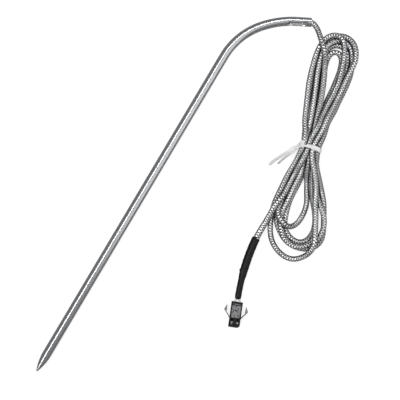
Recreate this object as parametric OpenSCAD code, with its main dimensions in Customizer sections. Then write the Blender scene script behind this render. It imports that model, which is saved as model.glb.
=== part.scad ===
// Leave-in meat thermometer probe: a bent stainless tube with a pointed tip and a
// sensor inside, a steel-braided cable folded into a tied hank, heat shrink, and a
// two-way wire-to-wire connector with a pair of swept-back latch wings.
// The probe lies flat on the floor plane z = 0 with its straight shaft along X, the tip
// at the -X end and the bend turning towards -Y.

/* [Probe shaft] */
// Outside diameter of the steel tube
tube_d = 4; // [3:0.1:6]
// Wall thickness of the steel tube
tube_wall = 0.5; // [0.3:0.05:0.6]
// Length from the sharp end to the start of the bend
straight_l = 159; // [100:1:220]
// Length of the pointed tip
tip_l = 9; // [6:0.5:14]
// Radius that blunts the sharp end
tip_blunt_r = 0.4; // [0.2:0.05:0.7]
// Depth that the tip's spigot reaches into the tube
spigot_l = 2; // [1:0.5:4]
// Centreline radius of the first, tighter bend
bend_1_r = 29.5; // [20:0.5:45]
// Turn of the first bend
bend_1_angle = 39; // [20:1:50]
// Centreline radius of the second, wider bend
bend_2_r = 41; // [25:0.5:60]
// Turn of the second bend
bend_2_angle = 24; // [10:1:35]
// Straight length between the second bend and the mouth
mouth_l = 6; // [5:0.5:10]

/* [Crimp] */
// Depth of the dent that grips the braid
crimp_depth = 0.8; // [0.4:0.05:0.9]
// Width of the dent across the tube
crimp_w = 2.2; // [1.5:0.1:2.6]
// Length of the dent's flat floor
crimp_flat_l = 5.4; // [3:0.1:7]
// Length of the steep ramp at the bend end of the dent
crimp_ramp_in = 1.2; // [0.6:0.1:3]
// Length of the long ramp at the mouth end of the dent
crimp_ramp_out = 2.8; // [1:0.1:4]
// Distance from the mouth to the long ramp
crimp_gap = 1; // [0.5:0.1:2]
// Turn of the dent about the tube, from the top towards the inside of the bend
crimp_turn = 34; // [0:1:60]

/* [Sensor] */
// Diameter of the sensor bead
bead_d = 1.8; // [1:0.1:2]
// Length of the sensor bead over its round ends
bead_l = 4; // [3:0.1:6]
// Distance from the tip's spigot to the bead
bead_gap = 1.5; // [0.5:0.1:3]
// Length of the heat-conducting filling round the bead
potting_l = 12; // [9:0.5:20]
// Diameter of the sensor's bare leads
lead_d = 0.3; // [0.2:0.05:0.4]
// Length of the leads from the filling to the splices
lead_free_l = 3; // [1:0.5:8]
// Diameter of the splice ferrules
splice_d = 0.84; // [0.6:0.02:0.86]
// Length of the splice ferrules
splice_l = 4; // [2:0.5:8]
// Diameter of the insulated cores in the tube
core_d = 0.8; // [0.5:0.05:0.85]
// Distance between the two cores' centres
core_pitch = 0.9; // [0.88:0.02:1]
// Drop of the cores below the tube's axis
core_drop = 0.3; // [0:0.05:0.35]

/* [Cable] */
// Diameter of the steel-braided cable
cable_d = 2.4; // [2:0.1:2.6]
// Depth inside the mouth at which the cable starts to turn down
exit_depth = 1.5; // [1:0.1:2.5]
// Height of the hank's lobes
lobe_h = 7; // [5:0.5:9]
// Width of the bundle at the hank's waist
bundle_w = 9.4; // [6:0.2:11]
// Height of the bundle at the hank's waist
bundle_h = 6.6; // [5:0.2:9]
// Length of the straight neck between the hank's lobes
neck_l = 16; // [12:1:22]

/* [Heat shrink] */
// Outside diameter of the shrink over the braid
shrink_outer_d = 3.7; // [3.6:0.1:4.4]
// Length of the shrink over the braid
shrink_outer_l = 14.4; // [10:0.2:20]
// Outside diameter of the shrink over the two wires
shrink_inner_d = 3; // [2.9:0.05:3.1]
// Length of the inner shrink that stands out of the outer one
shrink_inner_l = 13.5; // [8:0.5:18]
// Length of the inner shrink that is under the outer one
shrink_lap = 3; // [1:0.5:5]
// Wall of both shrinks
shrink_wall = 0.3; // [0.2:0.05:0.35]
// Radius of the gentle curve that the shrinks lie in
shrink_curve_r = 94; // [60:1:200]
// Heading of the cable where the shrink starts, from the mouth's own direction
shrink_heading = -111.5; // [-130:0.5:-90]

/* [Wires] */
// Outside diameter of each insulated wire
wire_d = 1; // [0.8:0.05:1.1]
// Distance between the two wires' centres in the shrink
wire_pitch = 1.15; // [1.11:0.01:1.3]
// Length of bare wire insulation between the shrink and the connector
wire_gap = 1.1; // [0.8:0.1:4]
// Diameter of the stranded conductor
conductor_d = 0.5; // [0.3:0.05:0.6]
// Length of the stripped conductor
conductor_l = 2.7; // [2.4:0.1:3]

/* [Connector] */
// Length of the housing
conn_l = 11.1; // [11:0.1:14]
// Width of the housing
conn_w = 4.9; // [4.9:0.1:6]
// Thickness of the housing
conn_t = 3.8; // [3.7:0.1:5]
// Distance between the two terminals
pitch = 2.5; // [2.4:0.05:2.54]
// Width and height of each terminal cavity
cavity_s = 1.5; // [1.4:0.05:1.6]
// Depth of the recessed panel in the top face
panel_depth = 0.3; // [0.1:0.05:0.4]
// Length of the recessed panel
panel_l = 5.4; // [4:0.1:5.6]
// Width of the recessed panel
panel_w = 3.9; // [3:0.1:4]
// Distance from the back face to the recessed panel
panel_inset = 1.5; // [1.3:0.1:1.6]
// Chamfer of the keyed corner at the mating end
key_chamfer = 0.8; // [0.3:0.1:1.2]
// Thickness of the terminals' sheet metal
sheet_t = 0.2; // [0.15:0.01:0.25]
// Play between each terminal and its cavity
terminal_play = 0.05; // [0.03:0.01:0.08]

/* [Latches] */
// Distance from the housing's back face to the latch roots
latch_root_x = 6.9; // [6.5:0.1:7]
// Height of the latch wings
latch_h = 2.2; // [1.5:0.1:2.6]
// Thickness of the latch struts
latch_t = 0.45; // [0.3:0.05:0.5]
// Sweep of the struts away from the housing's side
latch_sweep = 39; // [35:1:43]
// Length of a strut from its root to the barb
latch_strut_l = 4; // [3:0.1:4.5]
// Length of the barb along the housing
barb_l = 2.8; // [2:0.1:3.2]
// Width of the barb
barb_w = 1.3; // [0.8:0.1:1.4]
// Radius of the latch root
root_r = 0.35; // [0.3:0.01:0.38]
// Play round the latch root
root_play = 0.04; // [0.02:0.01:0.06]
// Furthest that a wing folds in
latch_travel = 13; // [8:1:14]

/* [Twist tie] */
// Width of the tie's ribbon
tie_w = 1.8; // [1.5:0.1:3]
// Thickness of the tie's ribbon
tie_t = 0.4; // [0.2:0.05:0.6]
// Length of the twisted neck
tie_twist_l = 3.8; // [2:0.2:6]
// Length of the long tail
tie_long_l = 12.8; // [8:0.2:20]
// Length of the short tail
tie_short_l = 9.8; // [5:0.2:13]

/* [Hidden] */
$fn = 64;

tube_r = tube_d / 2;
bore_r = tube_r - tube_wall;
// Play between parts that are pushed into each other and stay
seat_play = 0.02;
// Overshoot of a cutting shape past the face it opens
cut = 1;
// Distance from the middle of the tie's loop to the axis of its twist
tie_knot_out = 0.6;
// How far a straight reaches into a bend, and how much slimmer the bend is
joint_l = 0.2;
joint_step = 0.01;

// The mouth's place and direction, from the sharp end
end_turn = bend_1_angle + bend_2_angle;
mouth_x = straight_l + bend_1_r * sin(bend_1_angle)
    + bend_2_r * (sin(end_turn) - sin(bend_1_angle)) + mouth_l * cos(end_turn);
mouth_y = -bend_1_r * (1 - cos(bend_1_angle))
    - bend_2_r * (cos(bend_1_angle) - cos(end_turn)) - mouth_l * sin(end_turn);
mid_x = (mouth_x + tube_r * sin(end_turn)) / 2;
mid_y = (mouth_y - tube_r * cos(end_turn) + tube_r) / 2;

// The cable's free stretches, in the mouth's frame: x along the mouth, z up from the floor
exit_route = [
    [-exit_depth, 0, tube_r], [-exit_depth / 2, 0, tube_r], [0, -0.12, tube_r], [0.8, -0.45, 2],
    [1.7, -1.35, 2], [2.5, -2.8, 2.1], [3.4, -4.7, 2.6], [4.2, -6.6, 3.2], [5, -8.8, 3.8]
];
tail_route = [
    [-10.6, -80.2, 4.2], [-12.4, -83.9, 4], [-14.3, -87.7, 3.4], [-16.1, -91.2, 2.5], [-17.9, -94.9, 1.9]
];
shrink_start = tail_route[len(tail_route) - 1];
wire_z = conn_t / 2;

// The hank's outline: round corners of its two lobes, as [x, y, radius]
upper_lobe = [[15.7, -11.8, 6.5], [10.4, -8.9, 5.8], [2.6, -27, 3.8], [4.4, -47, 5.2]];
lower_lobe = [[3, -61.5, 5.2], [-6, -76.5, 5.8], [-2.3, -93.2, 11.1], [3.4, -88, 9.3]];
waist = [3.3, -53.9];
waist_turn = -12.7;

// The tie's twist and tails, as headings in the mouth's frame and drops
tie_twist_heading = -131;
tie_long_heading = -142;
tie_short_heading = -135;
tie_long_drop = 18;
tie_short_drop = 24;
tie_knot_z = 5;

shrink_angle = (shrink_outer_l + shrink_inner_l) / shrink_curve_r * 180 / PI;
outer_angle = shrink_outer_l / shrink_curve_r * 180 / PI;
lap_angle = shrink_lap / shrink_curve_r * 180 / PI;

// Stations along the connector, from its back face
entry_l = 1.2;
wire_end_x = 2.4;
box_x = 5.6;
box_end_x = 10.4;
rear_window_x = 7.3;
front_window_x = 8.7;
window_l = 0.9;
window_w = 1;
latch_y = conn_w / 2 + 0.05;
barb_top = latch_strut_l * [-cos(latch_sweep), sin(latch_sweep)] + [0, latch_t / 2];
barb_inner = barb_top + [0.5, -barb_w];

// ---- Frames ----

// The shaft's frame: x = 0 at the sharp end, z = 0 on the tube's axis
module shaft_frame() translate([-mid_x, -mid_y, tube_r]) children();

module after_bend_1() translate([straight_l, -bend_1_r, 0]) rotate(-bend_1_angle)
    translate([0, bend_1_r, 0]) children();

module after_bend_2() after_bend_1() translate([0, -bend_2_r, 0]) rotate(-bend_2_angle)
    translate([0, bend_2_r, 0]) children();

module mouth_frame() after_bend_2() translate([mouth_l, 0, 0]) children();

// The mouth's frame with z = 0 on the floor
module cord_frame() translate([-mid_x, -mid_y, 0]) mouth_frame() children();

// Where the heat shrink starts, with x along the cable and z = 0 on its axis
module shrink_frame() cord_frame() translate(shrink_start) rotate(shrink_heading) children();

// The back of the connector housing, with z = 0 on its underside
module connector_frame() shrink_frame() translate([0, shrink_curve_r, 0]) rotate(shrink_angle)
    translate([wire_gap, -shrink_curve_r, -wire_z]) children();

// ---- Shared shapes ----

// A round bar that follows the shaft from x0 to the mouth, beside the axis by y and z. The
// bends are a hair slimmer than the straights, which reach a little way into them.
module bent_bar(r, y = 0, z = 0, x0 = 0, over = 0) {
    module straight(from, to) translate([from, y, z]) rotate([0, 90, 0])
        cylinder(r = r, h = to - from);
    module bend(bend_r, angle) translate([0, -bend_r, 0]) rotate(90)
        rotate_extrude(angle = angle) translate([bend_r + y, z]) circle(r - joint_step);

    straight(x0, straight_l + joint_l);
    after_bend_1() {
        bend(bend_1_r, bend_1_angle);
        straight(-joint_l, joint_l);
    }
    after_bend_2() {
        bend(bend_2_r, bend_2_angle);
        straight(-joint_l, mouth_l + over);
    }
}

// The pressing tool of the crimp, or with grow the same tool with the wall's thickness on it
module crimp_tool(grow = 0) {
    floor_z = tube_r - crimp_depth - grow;
    ramp_a = -crimp_gap - crimp_ramp_out;
    ramp_b = ramp_a - crimp_flat_l;
    top_rise = (tube_r + cut - floor_z) / crimp_depth;
    mouth_frame() rotate([crimp_turn, 0, 0]) rotate([90, 0, 0])
        linear_extrude(crimp_w + 2 * grow, center = true)
            polygon([
                [ramp_b, floor_z], [ramp_a, floor_z],
                [ramp_a + crimp_ramp_out * top_rise, tube_r + cut],
                [ramp_b - crimp_ramp_in * top_rise, tube_r + cut]
            ]);
}

// A round rod between two points
module rod(a, b, r) {
    run = b - a;
    translate(a) rotate([0, acos(run.z / norm(run)), atan2(run.y, run.x)])
        cylinder(r = r, h = norm(run), $fn = 32);
}

// A bend of the shrink's curve between two angles, with a ring or a round section
module shrink_bend(from, to, outer_r, inner_r = 0, y = 0)
    shrink_frame() translate([0, shrink_curve_r, 0]) rotate(from - 90)
        rotate_extrude(angle = to - from) translate([shrink_curve_r - y, 0]) difference() {
            circle(outer_r);
            if (inner_r > 0) circle(inner_r);
        }

module rounded_rect(w, h, r) {
    square([w - 2 * r, h], center = true);
    square([w, h - 2 * r], center = true);
    for (sx = [-1, 1], sy = [-1, 1]) translate([sx * (w / 2 - r), sy * (h / 2 - r)]) circle(r);
}

function unit(v) = v / norm(v);
function heading(p, i) = unit(p[min(i + 1, len(p) - 1)] - p[max(i - 1, 0)]);
function ring(p, i, r, sides) = let (
    t = heading(p, i), side = unit(cross(t, [0, 0, 1])), up = cross(side, t)
) [for (k = [0:sides - 1]) p[i] + r * (cos(k * 360 / sides) * side + sin(k * 360 / sides) * up)];

// A plain round tube along a list of points
module cord_tube(route, r, sides = 8) {
    n = len(route);
    polyhedron(
        points = [for (i = [0:n - 1]) each ring(route, i, r, sides)],
        faces = concat(
            [[for (k = [0:sides - 1]) k]],
            [for (i = [0:n - 2], k = [0:sides - 1]) let (m = (k + 1) % sides)
                [i * sides + k, (i + 1) * sides + k, (i + 1) * sides + m, i * sides + m]],
            [[for (k = [sides - 1:-1:0]) (n - 1) * sides + k]]
        )
    );
}

// ---- Probe ----

module probe_tube() color("silver") shaft_frame() difference() {
    bent_bar(tube_r, x0 = tip_l);
    crimp_tool();
    difference() {
        bent_bar(bore_r, x0 = tip_l - cut, over = cut);
        crimp_tool(tube_wall);
    }
}

// The point is an ogive: an arc that leaves the tube straight on and runs into a small round
// nose, which touches x = 0
ogive_r = ((tip_l - tip_blunt_r) ^ 2 / (tube_r - tip_blunt_r) + tip_blunt_r + tube_r) / 2;
nose_turn = asin((tip_l - tip_blunt_r) / (ogive_r - tip_blunt_r));

module probe_tip() color("silver") shaft_frame() rotate([0, 90, 0]) rotate_extrude() polygon(concat(
    [[0, tip_l + spigot_l], [0, 0]],
    [for (t = [75, 60, 45, 30]) tip_blunt_r * [cos(t), 1 - sin(t)]],
    [for (i = [16:-1:0]) let (t = nose_turn * i / 16)
        [ogive_r * (cos(t) - 1) + tube_r, tip_l - ogive_r * sin(t)]],
    [[bore_r - seat_play, tip_l], [bore_r - seat_play, tip_l + spigot_l]]
));

bead_x = tip_l + spigot_l + bead_gap;
potting_end_x = tip_l + spigot_l + potting_l;
splice_x = potting_end_x + lead_free_l;

module bead_shape() {
    r = bead_d / 2;
    translate([bead_x + r, 0, 0]) sphere(r);
    translate([bead_x + bead_l - r, 0, 0]) sphere(r);
    translate([bead_x + r, 0, 0]) rotate([0, 90, 0]) cylinder(r = r, h = bead_l - bead_d);
}

// A lead starts inside the outline of the bead's round end, where the bead is cut for it
module lead_shape(side, x0) translate([x0, side * core_pitch / 2, -core_drop])
    rotate([0, 90, 0]) cylinder(d = lead_d, h = splice_x - x0);

module sensor_bead() color("saddlebrown") shaft_frame() difference() {
    bead_shape();
    for (side = [-1, 1]) lead_shape(side, bead_x + bead_l - bead_d / 2);
}

module sensor_potting() color("gray") shaft_frame() difference() {
    translate([tip_l + spigot_l, 0, 0]) rotate([0, 90, 0])
        cylinder(r = bore_r - seat_play, h = potting_l);
    bead_shape();
    for (side = [-1, 1]) lead_shape(side, bead_x + bead_l - bead_d / 2);
}

module sensor_lead(side) color("lightgray") shaft_frame() lead_shape(side, bead_x + bead_l - bead_d / 2);

module splice(side) color("gold") shaft_frame()
    translate([splice_x, side * core_pitch / 2, -core_drop]) rotate([0, 90, 0])
        cylinder(d = splice_d, h = splice_l);

module core_bar(side, over = 0)
    bent_bar(core_d / 2, side * core_pitch / 2, -core_drop, splice_x + splice_l, over);

module core(side) color("ivory") shaft_frame() core_bar(side, -exit_depth);

// The braid's end in the mouth, pressed in by the crimp
module braid_end() color("darkgray") shaft_frame() difference() {
    after_bend_2() rotate([0, 90, 0]) cylinder(d = cable_d, h = mouth_l - exit_depth);
    crimp_tool(tube_wall + seat_play);
    for (side = [-1, 1]) after_bend_2() translate([-cut, side * core_pitch / 2, -core_drop])
        rotate([0, 90, 0]) cylinder(r = core_d / 2 + seat_play, h = mouth_l + 2 * cut);
}

// ---- Cable ----

module cable_exit() color("darkgray") cord_frame() cord_tube(exit_route, cable_d / 2);

module cable_tail() color("darkgray") cord_frame() cord_tube(tail_route, cable_d / 2);

module lobe(corners) linear_extrude(lobe_h) hull()
    for (c = corners) translate([c.x, c.y]) circle(c.z, $fn = 32);

module at_waist() cord_frame() translate([waist.x, waist.y, tie_t + bundle_h / 2])
    rotate(waist_turn) rotate([90, 0, 0]) children();

module cable_hank() color("darkgray") {
    cord_frame() lobe(upper_lobe);
    cord_frame() lobe(lower_lobe);
    at_waist() linear_extrude(neck_l, center = true) rounded_rect(bundle_w, bundle_h, cable_d / 2);
}

// ---- Heat shrink and wires ----

module shrink_outer() color("black") difference() {
    shrink_bend(0, outer_angle, shrink_outer_d / 2);
    shrink_bend(-cut, outer_angle, cable_d / 2 + seat_play);
    shrink_bend(outer_angle - lap_angle, outer_angle + cut, shrink_inner_d / 2 + seat_play);
}

module shrink_inner() color("black") shrink_bend(outer_angle - lap_angle, shrink_angle,
    shrink_inner_d / 2, shrink_inner_d / 2 - shrink_wall);

// A point beside the shrink's curve, and one at x from the connector's back face
function curve_point(angle, y) =
    [(shrink_curve_r - y) * sin(angle), shrink_curve_r - (shrink_curve_r - y) * cos(angle), 0];
function entry_point(x, y) =
    curve_point(shrink_angle, y) + (wire_gap + x) * [cos(shrink_angle), sin(shrink_angle), 0];

module wire(side) color("white") shrink_frame() {
    y = side * wire_pitch / 2;
    // Where the wire clears the cavity's inner wall at the back face
    entry_y = side * (pitch / 2 - (cavity_s - wire_d) / 2 + terminal_play);
    cord_tube(concat(
        [for (i = [0:6]) curve_point(outer_angle + (shrink_angle - outer_angle) * i / 6, y)],
        [entry_point(0, entry_y), entry_point(entry_l / 2, side * pitch / 2),
            entry_point(wire_end_x, side * pitch / 2)]
    ), wire_d / 2, 12);
}

module conductor(side) color("goldenrod") connector_frame()
    rod([wire_end_x, side * pitch / 2, wire_z],
        [wire_end_x + conductor_l, side * pitch / 2, wire_z], conductor_d / 2);

// ---- Connector ----

module terminal(side) color("silver") connector_frame() translate([0, side * pitch / 2, wire_z]) {
    s = cavity_s - 2 * terminal_play;
    strip_w = 1;
    crimp_a = 2.9;
    crimp_b = 4.7;
    difference() {
        union() {
            translate([entry_l, -strip_w / 2, -s / 2]) cube([box_x - entry_l + sheet_t, strip_w, sheet_t]);
            translate([entry_l, 0, 0]) rotate([0, 90, 0]) cylinder(d = s, h = wire_end_x - entry_l - 0.2);
            translate([crimp_a, -0.45, -s / 2]) cube([crimp_b - crimp_a, 0.9, s / 2]);
            translate([crimp_a, 0, 0]) rotate([0, 90, 0]) cylinder(r = 0.45, h = crimp_b - crimp_a);
            translate([box_x, -s / 2, -s / 2]) cube([box_end_x - box_x, s, s]);
        }
        rod([0, 0, 0], [wire_end_x + 0.1, 0, 0], wire_d / 2 + 0.01);
        rod([wire_end_x, 0, 0], [box_x - 0.2, 0, 0], conductor_d / 2 + 0.01);
        translate([box_x - cut, -s / 2 + sheet_t, -s / 2 + sheet_t])
            cube([box_end_x - box_x + 2 * cut, s - 2 * sheet_t, s - 2 * sheet_t]);
        // Hole in the top of the socket, under the housing's rear window
        translate([rear_window_x + 0.1, -0.35, 0]) cube([window_l - 0.2, 0.7, s]);
    }
}

// A wing in plan: a strut from its root, with a hooked barb along the housing
module latch_outline() {
    circle(root_r);
    rotate(180 - latch_sweep) translate([0, -latch_t / 2]) square([latch_strut_l, latch_t]);
    polygon([barb_top, barb_inner + [-barb_l, barb_w / 6], barb_inner]);
}

module latch(side) color("dimgray") connector_frame()
    translate([latch_root_x, side * latch_y, wire_z - latch_h / 2])
        mirror([0, side > 0 ? 0 : 1, 0]) linear_extrude(latch_h) latch_outline();

// The room that a wing's root takes in the housing, at rest and folded in
module latch_seat(side) translate([latch_root_x, side * latch_y, wire_z - latch_h / 2 - root_play])
    mirror([0, side > 0 ? 0 : 1, 0]) linear_extrude(latch_h + 2 * root_play) {
        circle(root_r + root_play);
        for (turn = [0, latch_travel]) rotate(180 - latch_sweep + turn)
            translate([0, -latch_t / 2 - root_play]) square([latch_strut_l, latch_t + 2 * root_play]);
    }

module connector_housing() color("#202022") connector_frame() {
    half_w = conn_w / 2;
    difference() {
        linear_extrude(conn_t) polygon([
            [0, -half_w], [conn_l, -half_w], [conn_l, half_w - key_chamfer],
            [conn_l - key_chamfer, half_w], [0, half_w]
        ]);
        for (side = [-1, 1]) {
            translate([-cut, side * pitch / 2 - cavity_s / 2, wire_z - cavity_s / 2])
                cube([conn_l + 2 * cut, cavity_s, cavity_s]);
            latch_seat(side);
            // Two windows over each terminal
            for (x = [rear_window_x, front_window_x])
                translate([x, side * pitch / 2 - window_w / 2, wire_z]) cube([window_l, window_w, conn_t]);
            // Slit over the end of each terminal
            translate([box_end_x - 0.3, side * pitch / 2 - 0.45, wire_z]) cube([0.4, 0.9, conn_t]);
        }
        // Recessed panel, the groove behind it and its core hole
        translate([panel_inset, -panel_w / 2, conn_t - panel_depth]) cube([panel_l, panel_w, 1]);
        translate([0.8, -panel_w / 2, conn_t - panel_depth]) cube([0.4, panel_w, 1]);
        translate([3.7, 0, conn_t - 1.2]) cylinder(r = 0.35, h = 2, $fn = 24);
    }
}

// ---- Twist tie ----

module tie_tail(l, heading, drop) rotate(heading) rotate([0, drop, 0])
    translate([0, -tie_w / 2, -tie_t / 2]) cube([l, tie_w, tie_t]);

module twist_tie() color("white") {
    at_waist() linear_extrude(tie_w, center = true) difference() {
        rounded_rect(bundle_w + 2 * tie_t, bundle_h + 2 * tie_t, cable_d / 2 + tie_t);
        rounded_rect(bundle_w + 2 * seat_play, bundle_h + 2 * seat_play, cable_d / 2 + seat_play);
    }
    cord_frame() {
        reach = bundle_w / 2 + tie_t / 2 + tie_knot_out;
        knot = [waist.x - reach * cos(waist_turn), waist.y - reach * sin(waist_turn), tie_knot_z];
        turn_end = knot + tie_twist_l * [cos(tie_twist_heading), sin(tie_twist_heading), 0];
        translate(knot) rotate(tie_twist_heading) rotate([0, 90, 0])
            linear_extrude(tie_twist_l, twist = 400, slices = 14, $fn = 4)
                square([tie_w * 0.8, 2 * tie_t], center = true);
        translate(turn_end) tie_tail(tie_long_l, tie_long_heading, tie_long_drop);
        translate(turn_end) tie_tail(tie_short_l, tie_short_heading, tie_short_drop);
    }
}

probe_tube();
probe_tip();
sensor_bead();
sensor_potting();
sensor_lead(1);  // sensor_lead_1
sensor_lead(-1);  // sensor_lead_2
splice(1);  // splice_1
splice(-1);  // splice_2
core(1);  // core_1
core(-1);  // core_2
braid_end();
cable_exit();
cable_hank();
cable_tail();
shrink_outer();
shrink_inner();
wire(1);  // wire_1
wire(-1);  // wire_2
conductor(1);  // conductor_1
conductor(-1);  // conductor_2
terminal(1);  // terminal_1
terminal(-1);  // terminal_2
connector_housing();
latch(-1);  // latch_left
latch(1);  // latch_right
twist_tie();
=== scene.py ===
"""Looks of a leave-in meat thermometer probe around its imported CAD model.

The probe lies on a pale floor: a bent stainless tube with a pointed tip, a hank of
steel-braided cable in a twist tie, two heat-shrink sleeves and a two-way connector with
swept-back latch wings. Lengths are in millimetres unless a name or a comment says metres.
Places on the cable are given from the tube's mouth: x along the way that its open end
points, y to its left and z up from the floor.
"""

import logging
import math
from dataclasses import dataclass
from enum import Enum
from functools import cached_property
from typing import Any, Callable, Iterable

import bmesh
import bpy
import numpy as np
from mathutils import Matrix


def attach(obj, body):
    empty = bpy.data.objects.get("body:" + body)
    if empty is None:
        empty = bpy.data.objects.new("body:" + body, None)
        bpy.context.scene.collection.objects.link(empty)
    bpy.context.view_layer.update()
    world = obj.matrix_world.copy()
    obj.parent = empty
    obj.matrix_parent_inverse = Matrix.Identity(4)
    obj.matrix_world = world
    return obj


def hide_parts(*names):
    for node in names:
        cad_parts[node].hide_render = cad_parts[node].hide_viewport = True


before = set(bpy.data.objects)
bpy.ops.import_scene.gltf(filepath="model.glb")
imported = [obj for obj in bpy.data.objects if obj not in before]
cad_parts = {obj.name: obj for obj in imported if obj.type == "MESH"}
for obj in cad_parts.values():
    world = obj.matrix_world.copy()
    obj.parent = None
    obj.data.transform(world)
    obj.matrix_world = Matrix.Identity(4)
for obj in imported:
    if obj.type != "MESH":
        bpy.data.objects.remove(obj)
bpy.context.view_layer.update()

log = logging.getLogger("meat_thermometer")
MM = 0.001
Points = np.ndarray
Triple = tuple[float, float, float]


# ---------------------------------------------------------------- places


@dataclass(frozen=True)
class Place:
    """A flat frame on the floor, given by its origin and heading in another one."""

    x: float
    y: float
    heading: float
    base: "Place | None" = None

    def to_row(self, points: Any) -> Points:
        """Moves points into the row frame.

        Args:
            points: Rows of (x, y, z) in this frame.

        Returns:
            The same points in the row frame.
        """
        turn = math.radians(self.heading)
        c, s = math.cos(turn), math.sin(turn)
        pts = np.atleast_2d(np.asarray(points, float))
        out = pts.copy()
        out[:, 0] = self.x + c * pts[:, 0] - s * pts[:, 1]
        out[:, 1] = self.y + s * pts[:, 0] + c * pts[:, 1]
        return self.base.to_row(out) if self.base else out

    def from_row(self, points: Any) -> Points:
        """Moves points from the row frame into this one.

        Args:
            points: Rows of (x, y, z) in the row frame.

        Returns:
            The same points in this frame.
        """
        pts = self.base.from_row(points) if self.base else np.atleast_2d(np.asarray(points, float))
        turn = math.radians(self.heading)
        c, s = math.cos(turn), math.sin(turn)
        dx, dy = pts[:, 0] - self.x, pts[:, 1] - self.y
        return np.column_stack([c * dx + s * dy, c * dy - s * dx, pts[:, 2]])

    def turned(self, ways: Any) -> Points:
        """Turns directions from this frame into the row frame."""
        return self.to_row(ways) - self.to_row([0, 0, 0])


@dataclass(frozen=True)
class Bend:
    """A bend of the tube to the right: its radius and its angle in degrees."""

    radius: float
    angle: float

    @property
    def length(self) -> float:
        """The length of the bend on the tube's axis."""
        return self.radius * math.radians(self.angle)


@dataclass(frozen=True)
class Shaft:
    """The bent tube's line, which places all that comes after its mouth.

    `middle` is the row frame's origin, seen from the tip with x along the straight.
    """

    radius: float = 2.0
    wall: float = 0.5
    tip: float = 9.0
    straight: float = 159.0
    first: Bend = Bend(29.5, 39.0)
    second: Bend = Bend(41.0, 24.0)
    mouth_run: float = 6.0
    middle: tuple[float, float] = (96.4, -12.0388)

    @property
    def start(self) -> Place:
        """The tip's place, with x along the straight."""
        return Place(-self.middle[0], -self.middle[1], 0.0)

    @property
    def after_straight(self) -> Place:
        """The start of the first bend."""
        return Place(self.straight, 0.0, 0.0, self.start)

    @property
    def after_first(self) -> Place:
        """The end of the first bend."""
        turn = math.radians(self.first.angle)
        return Place(self.straight + self.first.radius * math.sin(turn),
                     -self.first.radius * (1 - math.cos(turn)), -self.first.angle, self.start)

    @property
    def after_second(self) -> Place:
        """The end of the second bend."""
        turn = math.radians(self.second.angle)
        return Place(self.second.radius * math.sin(turn),
                     -self.second.radius * (1 - math.cos(turn)), -self.second.angle, self.after_first)

    @property
    def mouth(self) -> Place:
        """The open end, with x pointing out of it."""
        return Place(self.mouth_run, 0.0, 0.0, self.after_second)

    def locate(self, points: Points) -> tuple[Points, Points]:
        """Finds where points of the surface lie along the tube and round it.

        Args:
            points: Rows of (x, y, z) in the row frame.

        Returns:
            The distance from the tip along the axis, and the angle round it from the floor
            side in radians.
        """
        p0, p1, p2 = (f.from_row(points) for f in (self.start, self.after_first, self.after_second))
        a1 = np.arctan2(p0[:, 0] - self.straight, p0[:, 1] + self.first.radius)
        a2 = np.arctan2(p1[:, 0], p1[:, 1] + self.second.radius)
        s1 = self.straight + self.first.length
        s2 = s1 + self.second.length
        stretches = [a1 < 0, a1 < math.radians(self.first.angle), p2[:, 0] < 0]
        along = np.select(
            stretches, [p0[:, 0], self.straight + self.first.radius * a1, s1 + self.second.radius * a2],
            s2 + p2[:, 0])
        side = np.select(
            stretches, [p0[:, 1],
                        np.hypot(p0[:, 0] - self.straight, p0[:, 1] + self.first.radius) - self.first.radius,
                        np.hypot(p1[:, 0], p1[:, 1] + self.second.radius) - self.second.radius],
            p2[:, 1])
        return along, np.arctan2(side, self.radius - points[:, 2]) % (2 * math.pi)


SHAFT = Shaft()
MOUTH = SHAFT.mouth
MOUTH_HEADING = -(SHAFT.first.angle + SHAFT.second.angle)
# Vertices of one piece that lie closer together than this are the same vertex
SAME_PLACE = 0.002


# ---------------------------------------------------------------- finishes


def linear(code: str) -> tuple[float, float, float, float]:
    """Turns an sRGB hex value to a linear colour.

    Args:
        code: Six hex digits after a #.

    Returns:
        Red, green, blue and an alpha of 1.
    """
    parts = [int(code[i : i + 2], 16) / 255 for i in (1, 3, 5)]
    r, g, b = (p / 12.92 if p <= 0.04045 else ((p + 0.055) / 1.055) ** 2.4 for p in parts)
    return (r, g, b, 1.0)


def add_node(tree: bpy.types.NodeTree, kind: str, inputs: Any = (), **settings: Any) -> bpy.types.Node:
    """Adds a shader node with its settings and its inputs.

    Args:
        tree: The node tree that gets the node.
        kind: The node's type, without its leading ShaderNode.
        inputs: A list by socket number, where None is left alone, or a dictionary by socket
            name. Each value is a constant, an sRGB hex value, a node whose first output is
            linked, or a pair of a node and an output.
        **settings: The node's own properties.

    Returns:
        The new node.
    """
    node = tree.nodes.new("ShaderNode" + kind)
    for key, value in settings.items():
        setattr(node, key, value)
    for key, value in inputs.items() if isinstance(inputs, dict) else enumerate(inputs):
        if isinstance(value, bpy.types.Node):
            tree.links.new(value.outputs[0], node.inputs[key])
        elif isinstance(value, tuple) and isinstance(value[0], bpy.types.Node):
            tree.links.new(value[0].outputs[value[1]], node.inputs[key])
        elif value is not None:
            node.inputs[key].default_value = linear(value) if isinstance(value, str) else value
    return node


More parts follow.
